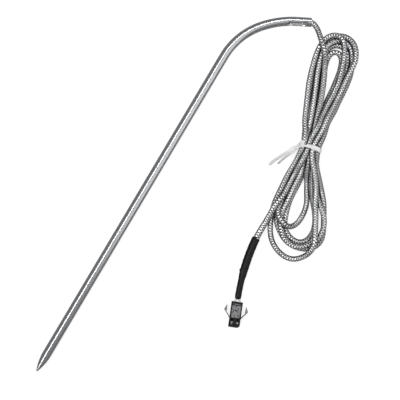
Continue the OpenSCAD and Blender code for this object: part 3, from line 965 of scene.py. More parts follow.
@dataclass
class Hank:
    """The steel-braided cable: out of the mouth, eleven times through the tie and to the sleeve.

    Its runs are laid through listed points and then settle on the floor
    and on each other. The waist is where the tie holds them, and the room there widens by
    `waist_slope` on both sides of it. `cell` is the length of one cell of the drawn braid.
    A strand's surface is darkened with painted shade within `shade_reach` of another strand,
    which is any stretch farther along the cable than `own_reach`.
    """

    body: str = "probe"
    diameter: float = 2.4
    end_diameter: float = 2.85
    end_swell: float = 16.0
    sides: int = 24
    ring_step: float = 0.4
    cell: float = 1.16
    shade_reach: float = 0.65
    own_reach: float = 5.0
    waist: tuple[float, float] = (3, -53.9)
    waist_turn: float = -12.7
    waist_width: float = 9.1
    waist_run: float = 1.6
    waist_reach: float = 7.0
    waist_slope: float = 0.2
    tie: float = 0.4
    top: float = 7.0
    length: float = 1.1
    # How the strands settle: the spacing of their points and the share of each move in a round
    node_step: float = 1.2
    rounds: int = 260
    held: int = 4
    fall: float = 0.012
    homing: float = 0.05
    look_every: int = 8
    look_out: float = 0.9
    next_to: int = 6
    shove: float = 0.45
    sharing: float = 0.6
    stiffness: float = 0.5
    evening: float = 0.25
    runs: tuple[Run, ...] = (
        # Out of the mouth, over the middle of the bundle and down to the tie
        Run(((-1.5, 0, 2), (0, -.12, 2), (.8, -.45, 2), (1.7, -1.35, 2), (2.5, -2.8, 2.1), (3.4, -4.7, 2.6),
             (4.2, -6.6, 3.2), (5, -8.8, 3.8), (5.8, -11, 4.8), (6.4, -14, 5), (6.8, -17.5, 4.3),
             (6.95, -21, 3.8), (6.8, -26, 3.6), (6.5, -30, 3.6), (6, -35, 3.6), (5.2, -40, 3.5),
             (4.5, -45, 3.4), (4, -50, 3.5))),
        # The innermost loop below the tie
        Run(((3, -58, 3.6), (2.6, -61, 3.1), (2.8, -65, 2), (3, -70, 1.4), (3.3, -75, 1.2), (3, -79, 1.2),
             (1.6, -83.5, 1.2), (-.6, -87.3, 1.3), (-3.3, -89.3, 2.4), (-5.8, -88.6, 3.4),
             (-8.2, -86.2, 3.6), (-9.6, -82.8, 3.4), (-8.9, -79, 2), (-6.3, -74.5, 1.2), (-3.8, -70, 1.2),
             (-1.8, -65, 1.3), (.7, -59.5, 1.5)), 0, 3.7),
        # The second loop above it, on the floor
        Run(((2.5, -50, 1.3), (2.5, -45, 1.2), (3, -40, 1.2), (3.7, -35, 1.2), (4.4, -30, 1.2),
             (4.9, -25, 1.2), (4.9, -20, 1.2), (5.4, -15.5, 1.2), (6.8, -11.7, 1.2), (9, -9.6, 1.3),
             (11.4, -8.8, 1.4), (13.6, -8.6, 1.5), (15.5, -9.5, 1.3), (16.4, -11.8, 1.2), (16.5, -15, 1.2),
             (15.8, -19.5, 1.2), (14.6, -24.5, 1.2), (12.9, -30, 1.2), (10.8, -35, 1.2), (8.9, -40, 1.6),
             (6.9, -45, 3), (5.9, -50, 3.4)), -1.2, 1.6),
        # The second loop below
        Run(((4.9, -59, 4.6), (3.9, -62, 4.2), (3.8, -65, 3.4), (4.3, -70, 2), (5.3, -75, 1.4),
             (6.3, -80, 1.2), (7, -84.5, 1.2), (7, -88.5, 1.2), (5.9, -92, 1.2), (3.5, -94.8, 1.2),
             (.2, -95.8, 1.2), (-3, -95.1, 1.2), (-5.1, -92.5, 1.2), (-5.9, -88.5, 1.2), (-6, -84.5, 1.2),
             (-5.3, -80, 1.2), (-3.5, -75, 1.2), (-1.3, -70, 1.2), (.3, -65, 1.2),
             (2.2, -60, 1.3)), 2.45, 3.7),
        # The innermost loop above
        Run(((4.9, -50, 1.3), (4.8, -45, 1.2), (5.2, -40, 1.2), (5.8, -35, 1.2), (6.4, -30, 1.2),
             (6.5, -25, 1.2), (6.4, -20, 1.2), (6.3, -17, 1.2), (6.9, -14.4, 1.2), (8, -13, 1.3),
             (9.8, -12.2, 1.3), (11.9, -12.2, 1.2), (13.6, -13.5, 1.2), (14.3, -16, 1.2), (14.1, -19, 1.2),
             (13.2, -22.6, 1.2), (12, -26, 1.2), (10.6, -30, 1.2), (8.8, -35, 1.2), (7.8, -40, 1.2),
             (7.3, -45, 1.2), (7.2, -50, 1.3)), 1.2, 1.6),
        # The third loop below
        Run(((6.1, -60, 1.3), (5.7, -65, 1.2), (6.4, -70, 1.4), (7.4, -75, 1.6), (9.5, -79.5, 3.4),
             (10.8, -84, 3.8), (10.8, -89, 3.8), (9.3, -93.3, 3.4), (6.2, -96, 1.8), (2.6, -97.4, 1.3),
             (-1, -97.3, 1.4), (-3.4, -96.4, 1.5), (-5.6, -94.6, 1.2), (-7.4, -91, 1.2), (-8, -87, 1.2),
             (-7.4, -82.6, 1.2), (-5.9, -78, 1.8), (-4.2, -74.5, 2.8), (-2.4, -70, 3.4), (-.6, -65, 3.5),
             (1, -59.5, 3.6)), 3.65, 1.6),
        # The third loop above
        Run(((1.5, -50, 3.6), (2.1, -45, 3.5), (2.6, -40, 3.4), (3, -35, 3.4), (3.5, -30, 3.4),
             (3.8, -25, 3.4), (4.1, -20, 3.3), (4.9, -15.5, 3.2), (6, -12, 2.8), (7.4, -9.6, 3),
             (9.2, -8.2, 3.4), (11.4, -7.4, 3.2), (13.7, -7.2, 2), (16, -7.9, 1.3), (17.7, -9.7, 1.2),
             (18.1, -12.3, 1.2), (18.4, -15.3, 1.2), (18.6, -18.3, 1.2), (18.3, -21.5, 1.2),
             (17.2, -25.5, 1.2), (15.4, -30, 1.2), (13.1, -35, 1.3), (10.8, -40, 1.3), (8.7, -45, 1.6),
             (7.3, -50, 3.2)), -2.45, 3.7),
        # The fourth loop below
        Run(((6.2, -59.5, 4.4), (6.3, -64, 2.4), (7.4, -69, 1.4), (8.8, -75, 1.2), (10.2, -80, 1.2),
             (10.9, -85, 1.2), (10.8, -90, 1.2), (9.8, -93.8, 1.2), (8.1, -96.3, 1.2), (5.7, -97.8, 1.2),
             (2.9, -98, 1.2), (-.1, -97.4, 1.2), (-2.9, -95.9, 1.2), (-5.3, -93.9, 1.2), (-7.3, -91.2, 1.2),
             (-8.8, -88, 1.2), (-9.7, -84.3, 1.2), (-9.9, -80, 1.2), (-8.3, -75, 1.2), (-6.2, -70, 1.2),
             (-4.2, -65.5, 1.2), (-1.5, -59.5, 1.4)), 3.7, 5.7),
        # The outermost loop above
        Run(((-.2, -50, 1.3), (-.2, -45, 1.2), (.1, -40, 1.2), (.6, -35, 1.2), (1, -30, 1.2),
             (1.5, -25, 1.2), (2.5, -20, 1.2), (3.6, -15.5, 1.2), (5.1, -11.7, 1.2), (6.8, -9, 1.3),
             (8.8, -7.1, 1.3), (11.3, -5.9, 1.2), (14, -5.8, 1.2), (16.4, -7.1, 1.2), (18.3, -9.4, 1.3),
             (19.6, -12.1, 1.6), (19.9, -14.7, 2.5), (19.1, -17.8, 3.4), (17.7, -21, 3.5), (16, -25, 3.4),
             (13.9, -30, 3.4), (11.5, -35, 3.4), (9.4, -40, 3.4), (7.7, -45, 3.6),
             (6.2, -50, 5.2)), -3.65, 1.6),
        # The outermost loop below
        Run(((5.1, -60, 5), (5.5, -64, 4), (6, -69, 3.8), (6.7, -75, 4.5), (7, -80, 5.2), (7.2, -85, 5.3),
             (7.3, -90, 4.9), (7.4, -93.5, 4.2), (7.1, -96.9, 3.3), (5.6, -99.4, 2.4), (3.2, -101.5, 1.4),
             (.4, -102.8, 1.2), (-2.7, -103, 1.2), (-5.9, -101.5, 1.2), (-8.9, -98.9, 1.2),
             (-11.1, -95.3, 1.2), (-12, -91.5, 1.2), (-12, -87.5, 1.2), (-11.2, -83.5, 1.2),
             (-10.2, -79.5, 1.5), (-9.2, -75.5, 2.3), (-7.7, -71, 3.3), (-5.6, -66.5, 3.5),
             (-2.8, -60.5, 4.3)), 1.3, 5.8),
        # The loop above that lies on top of the others
        Run(((-.5, -50, 4.2), (-.4, -45, 3.6), (-.1, -40, 3.6), (.1, -35, 3.6), (.4, -30, 3.6),
             (.7, -25, 3.6), (1.6, -20, 3.5), (2.7, -15.5, 3.4), (4.1, -11.5, 3), (5.6, -8.3, 2.6),
             (7.2, -6.3, 3), (9, -5.3, 3.3), (11, -5, 3.5), (12.8, -5.5, 3.6), (14, -7.2, 3.6),
             (14.7, -9.4, 3.6), (14.9, -12.5, 3.6), (14.7, -16, 3.6), (14.2, -20, 3.6), (13.4, -25, 3.6),
             (12, -30, 3.6), (9.9, -35, 4.1), (7.7, -40, 5), (5.5, -45, 5.6), (3.7, -50, 5.8)), -3.75, 5.5),
        # The tail, down to the sleeve
        Run(((-.1, -60, 5.3), (-2.6, -65, 4.5), (-4.8, -70, 4), (-7.3, -75, 3.9), (-10.6, -80.2, 4.2),
             (-12.4, -83.9, 4), (-14.3, -87.7, 3.4), (-16.1, -91.2, 2.5), (-17.9, -94.9, 1.9)), -1.2, 5.8),
    )

    @property
    def across(self) -> Points:
        """The way across the bundle at the tie, in plan."""
        turn = math.radians(self.waist_turn)
        return np.array([math.cos(turn), math.sin(turn)])

    @property
    def through(self) -> Points:
        """The way through the tie, in plan."""
        return self.across[::-1] * [-1, 1]

    @cached_property
    def line(self) -> Points:
        """The cable's middle line at rest, from the mouth."""
        return self.settled()

    def route(self) -> Points:
        """Joins the runs through the tie and spaces them evenly.

        Returns:
            The cable's middle line as it was laid, from the mouth.
        """
        points: list[Triple] = []
        for run in self.runs:
            if run.across is not None:
                x, y = np.array(self.waist) + run.across * self.across
                points.append((x, y, run.height))
            points += run.points
        return curve_through(np.array(points, float), self.node_step)

    def settled(self) -> Points:
        """Lets the laid cable settle: strands fall, push each other apart and stay smooth.

        Returns:
            The cable's middle line at rest, from the mouth.
        """
        home = self.route()
        line = home.copy()
        fixed = np.r_[0 : self.held, len(home) - self.held : len(home)]
        beside = np.abs((home[:, :2] - self.waist) @ self.through)
        pinched = beside < self.waist_reach
        widening = self.waist_slope * np.clip(beside - self.waist_run, 0, None)
        room = (self.waist_width - self.diameter) / 2 + widening
        low = np.where(beside < self.waist_run, self.tie, 0.0) + self.diameter / 2
        for step in range(self.rounds):
            if step % self.look_every == 0:
                pairs = self.neighbours(line)
            line[:, 2] -= self.fall
            line[:, :2] += self.homing * (home[:, :2] - line[:, :2])
            for _ in range(2):
                self.push_apart(line, *pairs)
                line[:, 2] = np.maximum(line[:, 2], low)
            self.stiffen(line)
            self.even_out(line)
            out = (line[:, :2] - self.waist) @ self.across
            spare = np.clip(np.abs(out) - room, 0, None) * np.sign(out) * pinched
            line[:, :2] -= spare[:, None] * self.across
            line[fixed] = home[fixed]
            line[:, 2] = np.clip(line[:, 2], low, self.top - self.diameter / 2)
        return line

    def neighbours(self, line: Points) -> tuple[Points, Points]:
        """Finds points that may come to touch, other than neighbours along the cable.

        Args:
            line: The cable's middle line.

        Returns:
            The first and the second point of each pair.
        """
        square = (line * line).sum(1)
        gap = square[:, None] + square[None, :] - 2 * line @ line.T
        return np.nonzero(np.triu(gap < (self.diameter + self.look_out) ** 2, self.next_to))

    def push_apart(self, line: Points, first: Points, second: Points) -> None:
        """Moves strands that press into each other apart.

        Args:
            line: The cable's middle line, which changes.
            first: The first point of each pair that may touch.
            second: The second one.
        """
        n, d = len(line), self.diameter
        apart = line[first] - line[second]
        dist = np.sqrt((apart**2).sum(-1)) + 1e-9
        near = dist < d
        i, j = first[near], second[near]
        shove = (self.shove * (d - dist[near]) / dist[near])[:, None] * apart[near]
        move = np.column_stack([np.bincount(i, way, n) - np.bincount(j, way, n) for way in shove.T])
        touches = np.bincount(i, minlength=n) + np.bincount(j, minlength=n)
        line += move / np.maximum(touches, 1)[:, None] ** self.sharing

    def stiffen(self, line: Points) -> None:
        """Evens out how sharply the line bends, as the cable's own stiffness does.

        Args:
            line: The cable's middle line, which changes.
        """
        for _ in range(3):
            bow = np.zeros_like(line)
            bow[1:-1] = 0.5 * (line[:-2] + line[2:]) - line[1:-1]
            line[2:-2] += self.stiffness * (bow[2:-2] - 0.5 * (bow[1:-3] + bow[3:-1]))

    def even_out(self, line: Points) -> None:
        """Slides the line's points along it, so that they stay evenly spaced.

        Args:
            line: The cable's middle line, which changes.
        """
        link = np.diff(line, axis=0)
        size = np.linalg.norm(link, axis=1, keepdims=True)
        pull = self.evening * link * (1 - size.mean() / size)
        line[:-1] += pull
        line[1:] -= pull

    def radius(self, s: Points) -> Points:
        """The cable's radius, which grows where the sleeve holds the braid's end.

        Args:
            s: Distances along the cable, the last one at its end.

        Returns:
            The radius at each of them.
        """
        left = np.clip((s[-1] - s) / self.end_swell, 0, 1)
        swell = (1 - left) ** 2 * (1 + 2 * left)
        return (self.diameter + (self.end_diameter - self.diameter) * swell) / 2

    def painted_shade_between_strands(self, points: Points, path: Points, s: Points, at: Points) -> Points:
        """Works out the painted shade: how deep each point of the cable lies between its strands.

        Args:
            points: Points of the cable's surface.
            path: Its middle line.
            s: The distance along the cable at each point of the line.
            at: The distance along the cable at each point of the surface.

        Returns:
            0 where a point lies free, up to 1 of painted shade where another strand touches it.
        """
        line, there = path[::2].astype(np.float32), s[::2]
        square = (line**2).sum(1)
        near = []
        # The surface is looked at in forty parts, so that the table of gaps stays small
        for part, here in zip(np.array_split(points.astype(np.float32), 40), np.array_split(at, 40)):
            gap = (part**2).sum(1)[:, None] + square[None, :] - 2 * part @ line.T
            gap[np.abs(here[:, None] - there[None, :]) < self.own_reach] = np.inf
            near.append(np.sqrt(np.clip(gap.min(1), 0, None)))
        return np.clip(1 - (np.concatenate(near) - self.diameter / 2) / self.shade_reach, 0, 1)

    def build(self, ends: list[bpy.types.Object]) -> bpy.types.Object:
        """Args:
            ends: The separate pieces on its far end; not used.

        Returns:
            The cable.
        """
        path = MOUTH.to_row(curve_through(self.line, self.ring_step))
        s = distances(path)
        sides, n = self.sides, len(path)
        rings = rings_along(path, self.radius(s)[:, None, None], sides)
        i, k = (g.reshape(-1) for g in np.meshgrid(np.arange(n - 1), np.arange(sides), indexing="ij"))
        m = (k + 1) % sides
        quads = np.stack([i * sides + k, (i + 1) * sides + k, (i + 1) * sides + m, i * sides + m], -1)
        caps = [list(range(sides)), [(n - 1) * sides + j for j in range(sides)][::-1]]
        mesh = bpy.data.meshes.new("cable")
        mesh.from_pydata((rings.reshape(-1, 3) * MM).tolist(), [], quads.tolist() + caps)
        u = np.stack([k, k, k + 1, k + 1], -1) / sides
        v = np.stack([s[i], s[i + 1], s[i + 1], s[i]], -1) / self.cell
        uv = np.r_[np.stack([u, v], -1).reshape(-1), np.zeros(4 * sides)]
        mesh.uv_layers.new(name="braid").data.foreach_set("uv", uv)
        # Painted shade between strands, which the braid's finish reads
        hollow = mesh.attributes.new("hollow", "FLOAT", "POINT")
        hollow.data.foreach_set("value", self.painted_shade_between_strands(rings.reshape(-1, 3), path, s, np.repeat(s, sides)))
        obj = bpy.data.objects.new("cable", mesh)
        bpy.context.scene.collection.objects.link(obj)
        dress(obj, Finishes.BRAID, angle=60)
        settle(obj, self.body, ["cable_exit", "cable_hank", "cable_tail"])
        MOUTH.to_row([0, 0, SHAFT.radius])[0] * MM
        log.info("the cable is %.0f mm long", s[-1])
        return obj


# ---------------------------------------------------------------- sleeves and wires


@dataclass
class Sleeves:
    """The two heat-shrink sleeves and the two wires that leave them.

    They follow one curve to the left. `start` is its start at the end of the bare cable,
    `curve` its radius and `middle_z` its height. The inner sleeve comes out of the outer one
    and starts `lap` inside it, and `gap` is the stretch of bare wire up to the housing.
    """

    body: str = "probe"
    start: Place = Place(-17.9, -94.9, -111.5, MOUTH)
    curve: float = 94.0
    middle_z: float = 1.9
    outer_radius: float = 1.85
    outer_length: float = 14.4
    inner_radius: float = 1.5
    inner_length: float = 13.5
    lap: float = 3.0
    wall: float = 0.35
    edge: float = 0.09
    closing: float = 0.08
    ripple: float = 0.02
    swell: float = 0.3
    bead: float = 0.6
    bead_turn: float = 145.0
    tip_closing: float = 0.55
    ring_step: float = 0.2
    sides: int = 48
    wire_radius: float = 0.5
    wire_pitch: float = 1.15
    wire_sides: int = 24
    pitch: float = 2.5
    gap: float = 1.1

    @property
    def length(self) -> float:
        """The length of the sleeved stretch."""
        return self.outer_length + self.inner_length

    @property
    def inner_reach(self) -> float:
        """The inner sleeve's length with the part in the outer one."""
        return self.length - (self.outer_length - self.lap)

    def at(self, along: Any, side: Any = 0.0, z: Any = 0.0) -> Points:
        """Finds places on the sleeves' curve.

        Args:
            along: Distances from the start of the outer sleeve.
            side: Distances to the left of the curve.
            z: Heights over the curve.

        Returns:
            The places in the row frame.
        """
        along, side, z = np.broadcast_arrays(np.asarray(along, float), side, z)
        turn = np.minimum(along, self.length) / self.curve
        rest = np.maximum(along - self.length, 0)
        r = self.curve - side
        points = np.stack([r * np.sin(turn) + rest * np.cos(turn),
                           self.curve - r * np.cos(turn) + rest * np.sin(turn), z + self.middle_z], -1)
        return self.start.to_row(points.reshape(-1, 3)).reshape(points.shape)

    def sleeve(self, name: str, node: str, start: float, end: float,
               radius: Callable[[Points, Points], Points],
               flat: Callable[[Points], Points]) -> bpy.types.Object:
        """Draws a sleeve along the curve and gives it its wall and round edges.

        Args:
            name: The piece's name.
            node: The CAD node that it stands for.
            start: Where it starts on the curve.
            end: Where it ends.
            radius: Its radius at a distance from its start and an angle.
            flat: How tall it is for its width at a distance from its start.

        Returns:
            The sleeve.
        """
        s = np.linspace(0, end - start, int((end - start) / self.ring_step))[:, None]
        angle = (np.arange(self.sides) * 2 * math.pi / self.sides)[None, :]
        r = radius(s, angle)
        rings = self.at(start + s + 0 * angle, r * np.cos(angle), r * np.sin(angle) * flat(s))
        obj = along_path(name, rings, open_ends=True)
        apply_modifier(obj, "SOLIDIFY", thickness=self.wall * MM, offset=-1.0)
        apply_modifier(obj, "BEVEL", width=self.edge * MM, segments=2, limit_method="ANGLE",
                       angle_limit=math.radians(60))
        dress(obj, Finishes.SLEEVE, angle=45)
        return settle(obj, self.body, [node])

    def wire(self, name: str, node: str, side: int) -> bpy.types.Object:
        """Draws one wire from the outer sleeve into the housing.

        The wires lie side by side in the inner sleeve and splay to the contacts' pitch in
        the gap.

        Args:
            name: The piece's name.
            node: The CAD node that it stands for.
            side: 1 for the left one and -1 for the right one.

        Returns:
            The wire.
        """
        near, far = self.wire_pitch / 2, self.pitch / 2
        end = self.length
        in_housing = end + self.gap
        along, spread = np.array([
            (self.outer_length, near), (end - 7, near), (end - 3, near), (end - 0.8, near + 0.03),
            (end + 0.5, near + 0.33), (in_housing + 0.1, far - 0.11), (in_housing + 1, far),
            (in_housing + 2.4, far)]).T
        line = curve_through(self.at(along, side * spread, 0.0), 0.3)
        obj = along_path(name, rings_along(line, self.wire_radius, self.wire_sides))
        dress(obj, Finishes.WIRE, angle=60)
        return settle(obj, self.body, [node])

    def outer(self, s: Points, angle: Points) -> Points:
        """Shapes the outer sleeve, which closes at its ends and wrinkles between them.

        Args:
            s: Distances from the sleeve's start.
            angle: Angles round it.

        Returns:
            Its radius there.
        """
        ends = self.closing * np.exp(-s / 0.8) + self.closing * np.exp(-(self.outer_length - s) / 0.5)
        wrinkle = self.ripple * np.sin(1.9 * s + 2 * np.sin(angle))
        wrinkle = wrinkle + self.ripple * np.sin(3.3 * s + 3 * angle)
        return self.outer_radius - 0.06 - ends + wrinkle

    def inner(self, s: Points, angle: Points) -> Points:
        """Shapes the inner sleeve, which swells at the lap and closes round the wires.

        Args:
            s: Distances from the sleeve's start.
            angle: Angles round it.

        Returns:
            Its radius there.
        """
        left = np.clip((s - self.lap - 1.3) / 4.5, 0, 1)
        swell = np.where(s < self.lap - 0.2, 0.0, self.swell * (1 - left) ** 2 * (1 + 2 * left))
        # The glue's bead stands out at one side of the lap
        bead = self.bead * np.exp(-(((s - self.lap - 0.85) / 0.55) ** 2))
        bead = bead * np.clip(np.cos(angle - math.radians(self.bead_turn)), 0, 1) ** 6
        tip = np.clip((s - self.inner_reach + 1.3) / 1.3, 0, 1)
        wrinkle = self.ripple * np.sin(2.3 * s + 2 * angle)
        return self.inner_radius - 0.1 + swell + bead + wrinkle - self.tip_closing * tip**3

    def build(self) -> list[bpy.types.Object]:
        """Makes both sleeves and both wires.

        Returns:
            The four pieces.
        """
        start = self.outer_length - self.lap
        return [
            self.sleeve("outer_sleeve", "shrink_outer", 0, self.outer_length, self.outer,
                        lambda s: 1 + 0 * s),
            self.sleeve("inner_sleeve", "shrink_inner", start, self.length, self.inner,
                        lambda s: 1 - 0.2 * np.clip((s - self.inner_reach + 7) / 6, 0, 1)),
            self.wire("left_wire", "wire_1", 1), self.wire("right_wire", "wire_2", -1)]


# ---------------------------------------------------------------- the connector


@dataclass
class Connector:
    """The two-way housing, its wings and the terminals in it.

    `panel` and `terminal_shade` are the stretches along the housing of the recessed panel and of
    the terminals' painted shade.
    """

    sleeves: Sleeves
    body: str = "probe"
    edge: float = 0.09
    wing_edge: float = 0.07
    stamped_edge: float = 0.04
    panel: tuple[float, float] = (0.7, 7.0)
    panel_half: float = 2.0
    panel_z: float = 3.5
    panel_slack: float = 0.03
    terminal_shade: tuple[float, float] = (6.6, 8.45)

    @property
    def place(self) -> Place:
        """Finds the middle of the housing's back.

        Returns:
            Its place, with x along the housing.
        """
        curve, gap = self.sleeves.curve, self.sleeves.gap
        turn = self.sleeves.length / curve
        c, s = math.cos(turn), math.sin(turn)
        x, y = curve * s + gap * c, curve * (1 - c) + gap * s
        return Place(x, y, math.degrees(turn), self.sleeves.start)

    def part(self, name: str, node: str, body: str, edge: float,
             finish: Finishes, slot: str) -> bpy.types.Object:
        """Rounds the edges of a copy of a CAD piece.

        Args:
            name: The piece's name.
            node: The CAD node.
            body: The CAD body that it moves with.
            edge: The width of its round edges.
            finish: Its finish.
            slot: The material slot; not used.

        Returns:
            The piece.
        """
        obj = merged_copy(node, name)
        apply_modifier(obj, "BEVEL", width=edge * MM, segments=2, limit_method="ANGLE",
                       angle_limit=math.radians(40), use_clamp_overlap=True)
        dress(obj, finish, angle=35)
        return settle(obj, body, [node])

    def roughen_panel(self, housing: bpy.types.Object) -> bpy.types.Object:
        """Gives the recessed panel's floor the matt texture of the mould.

        Args:
            housing: The housing.

        Returns:
            The housing.
        """
        housing.data.materials.append(Finishes.PANEL.material())
        for face in housing.data.polygons:
            x, y, z = self.place.from_row(np.array(face.center) / MM)[0]
            on_floor = abs(z - self.panel_z) < self.panel_slack and face.normal.z > 0.99
            if on_floor and self.panel[0] < x < self.panel[1] and abs(y) < self.panel_half:
                face.material_index = 1
        return housing

    def paint_shade_on_terminal(self, terminal: bpy.types.Object) -> bpy.types.Object:
        """Paints shade on the top of a terminal round its lance, with a dark brown metal.

        Args:
            terminal: The terminal.

        Returns:
            The terminal.
        """
        terminal.data.materials.append(Finishes.CRIMPED.material())
        only(terminal)
        bpy.ops.object.mode_set(mode="EDIT")
        ahead = self.place.turned([1, 0, 0])[0]
        for x in self.terminal_shade:
            bpy.ops.mesh.select_all(action="SELECT")
            at = self.place.to_row([x, 0, 0])[0] * MM
            bpy.ops.mesh.bisect(plane_co=at.tolist(), plane_no=ahead.tolist())
        bpy.ops.object.mode_set(mode="OBJECT")
        # Painted shade: the faces in the band take the dark metal
        for face in terminal.data.polygons:
            x = self.place.from_row(np.array(face.center) / MM)[0][0]
            if self.terminal_shade[0] < x < self.terminal_shade[1]:
                face.material_index = 1
        return terminal

    def build(self) -> list[bpy.types.Object]:
        """Makes the housing, both wings and both terminals.

        Returns:
            The five pieces.
        """
        housing = self.part("housing", "connector_housing", self.body, self.edge,
                            Finishes.NYLON, "black_nylon")
        wings = [self.part(f"{side}_wing_piece", f"latch_{side}", f"{side}_wing", self.wing_edge,
                           Finishes.WING, "grey_nylon") for side in ("left", "right")]
        terminals = [self.part(f"{side}_terminal", node, self.body, self.stamped_edge,
                               Finishes.TERMINAL, "tinned_terminal")
                     for side, node in (("left", "terminal_1"), ("right", "terminal_2"))]
        return [self.roughen_panel(housing), *wings, *map(self.paint_shade_on_terminal, terminals)]


# ---------------------------------------------------------------- the tie


@dataclass(frozen=True)
class Tail:
    """A free end of the tie: its length, heading, fall and lean in degrees, and its bow."""

    length: float
    heading: float
    drop: float
    lean: float
    bow: float


@dataclass
class Tie:
    """The twist tie: a ribbon with a wire in its middle, round the bundle and twisted shut.

    The knot is where the loop's ends meet, and from there they wind round each other to
    `twist_end`, `spread` from the middle and `layer` over and under it. The loop bulges
    away from the twist, and leans and narrows below `gather_from` across the bundle.
    """

    hank: Hank
    body: str = "probe"
    width: float = 1.8
    core: float = 0.4
    edge: float = 0.24
    play: float = 0.03
    floor_play: float = 0.02
    knot: Triple = (-0.35, -52.3, 7.08)
    twist_end: Triple = (-5.0, -56.1, 5.3)
    spread: float = 0.5
    layer: float = 0.22
    roll: float = 35.0
    bulge: float = 0.042
    gather_from: float = 0.6
    gather_run: float = 3.6
    gather: float = 0.5
    lean: float = 62.0
    top: float = 7.45
    loop_steps: int = 90
    tail_steps: int = 36
    tails: tuple[Tail, ...] = (Tail(12.1, -142.0, 19.0, 44.0, 0.5), Tail(8.8, -135.5, 24.0, 60.0, 0.3))

    def section(self) -> Points:
        """The ribbon's section: thin at its edges and thick over the wire.

        Returns:
            Points of (across, out of it), once round.
        """
        half, edge, core = self.width / 2, self.edge / 2, self.core / 2
        half_top = [(half, 0), (half - 0.06, edge), (half * 0.45, edge), (0.3, edge + 0.01), (0.16, core)]
        top = half_top + [(-x, y) for x, y in half_top[::-1]]
        return np.array(top + [(x, -y) for x, y in top[-2:0:-1]])

    def ribbon(self, name: str, path: Points, flat: Points, pinch: Any = 1.0,
               loop: bool = False) -> bpy.types.Object:
        """Draws the ribbon along a path.

        Args:
            name: The piece's name.
            path: Its middle line, from the mouth.
            flat: The way across the ribbon at each point.
            pinch: How wide it is for its width: below 1 where it is gathered.
            loop: Whether it closes on itself.

        Returns:
            The ribbon.
        """
        path, flat = MOUTH.to_row(path), MOUTH.turned(flat)
        ahead = (np.roll(path, -1, axis=0) - np.roll(path, 1, axis=0)) if loop else np.gradient(path, axis=0)
        ahead /= np.linalg.norm(ahead, axis=1, keepdims=True)
        flat = flat - (flat * ahead).sum(1, keepdims=True) * ahead
        flat /= np.linalg.norm(flat, axis=1, keepdims=True)
        out = np.cross(ahead, flat)
        s = self.section()
        wide = s[None, :, :1] * np.reshape(pinch, (-1, 1, 1))
        rings = path[:, None] + wide * flat[:, None] + s[None, :, 1:] * out[:, None]
        return along_path(name, rings, loop=loop)

    def wrap(self, strands: Points) -> Points:
        """Finds the tightest line round all strands, smoothed as a stiff ribbon takes it.

        Args:
            strands: Where strands pass the tie, as (across, height).

        Returns:
            The ribbon's middle line, as (across, height).
        """
        grow = self.hank.diameter / 2 + self.core / 2 + self.play
        angle = np.linspace(0, 2 * math.pi, 96, endpoint=False)
        ways = np.column_stack([np.cos(angle), np.sin(angle)])
        # Each way out, such a line lies at the farthest strand plus its radius
        reach = (strands @ ways.T).max(0) + grow
        slope = (np.roll(reach, -1) - np.roll(reach, 1)) / (2 * (angle[1] - angle[0]))
        line = reach[:, None] * ways + slope[:, None] * np.column_stack([-ways[:, 1], ways[:, 0]])
        line = np.vstack([line, line[:1]])
        line = spaced(line, np.linspace(0, distances(line)[-1], self.loop_steps, endpoint=False))
        for _ in range(2):
            line = 0.5 * line + 0.25 * (np.roll(line, 1, axis=0) + np.roll(line, -1, axis=0))
        line[:, 1] = np.maximum(line[:, 1], self.core / 2 + self.floor_play)
        return line

    def loop(self, strands: Points) -> bpy.types.Object:
        """Wraps the ribbon round the strands.

        Args:
            strands: Where strands pass the tie, as (across, height).

        Returns:
            The loop.
        """
        line = self.wrap(strands)
        across, height = line[:, :1], line[:, 1]
        bow = self.bulge * (across - self.gather_from) ** 2
        plan = np.array(self.hank.waist) + across * self.hank.across - bow * self.hank.through
        # The ribbon leans over and is gathered where it comes up to the twist
        near = np.clip((self.gather_from - line[:, 0]) / self.gather_run, 0, 1)
        near = near * (height > strands[:, 1].mean())
        room = np.arcsin(np.clip((self.top - height) / (self.width / 2), 0.1, 1))
        lean = np.minimum(np.radians(self.lean) * near, room)
        flat = np.column_stack([np.cos(lean)[:, None] * self.hank.through, np.sin(lean)])
        path = np.column_stack([plan, height])
        return self.ribbon("tie_loop", path, flat, pinch=1 - self.gather * near, loop=True)

    def tail(self, name: str, side: int, tail: Tail) -> bpy.types.Object:
        """Winds one end of the ribbon round the other and lets it hang towards the floor.

        Args:
            name: The piece's name.
            side: 1 for the end that starts on top and -1 for the one under it.
            tail: Its sizes.

        Returns:
            The tail.
        """
        knot, out = np.array(self.knot), np.array(self.twist_end)
        t = np.linspace(0, 1, self.tail_steps)[:, None]
        axis = knot + t * (out - knot)
        axis[:, 2] = out[2] + (knot[2] - out[2]) * (1 - t[:, 0]) ** 1.3
        way = np.gradient(axis, axis=0)
        way /= np.linalg.norm(way, axis=1, keepdims=True)
        beside = np.cross([0, 0, 1.0], way)
        beside /= np.linalg.norm(beside, axis=1, keepdims=True)
        # The ends cross once: each goes from one side to the other, one over the other
        upward = np.cross(way, beside)
        twist = axis + side * (self.spread * np.cos(math.pi * t) * beside + self.layer * upward)
        rolled = np.radians(self.roll) * np.sin(math.pi * t)
        flat = np.cos(rolled) * beside + np.sin(rolled) * upward
        turn, fall, lean = (math.radians(a) for a in (tail.heading, tail.drop, tail.lean))
        along = np.array([math.cos(turn) * math.cos(fall), math.sin(turn) * math.cos(fall), -math.sin(fall)])
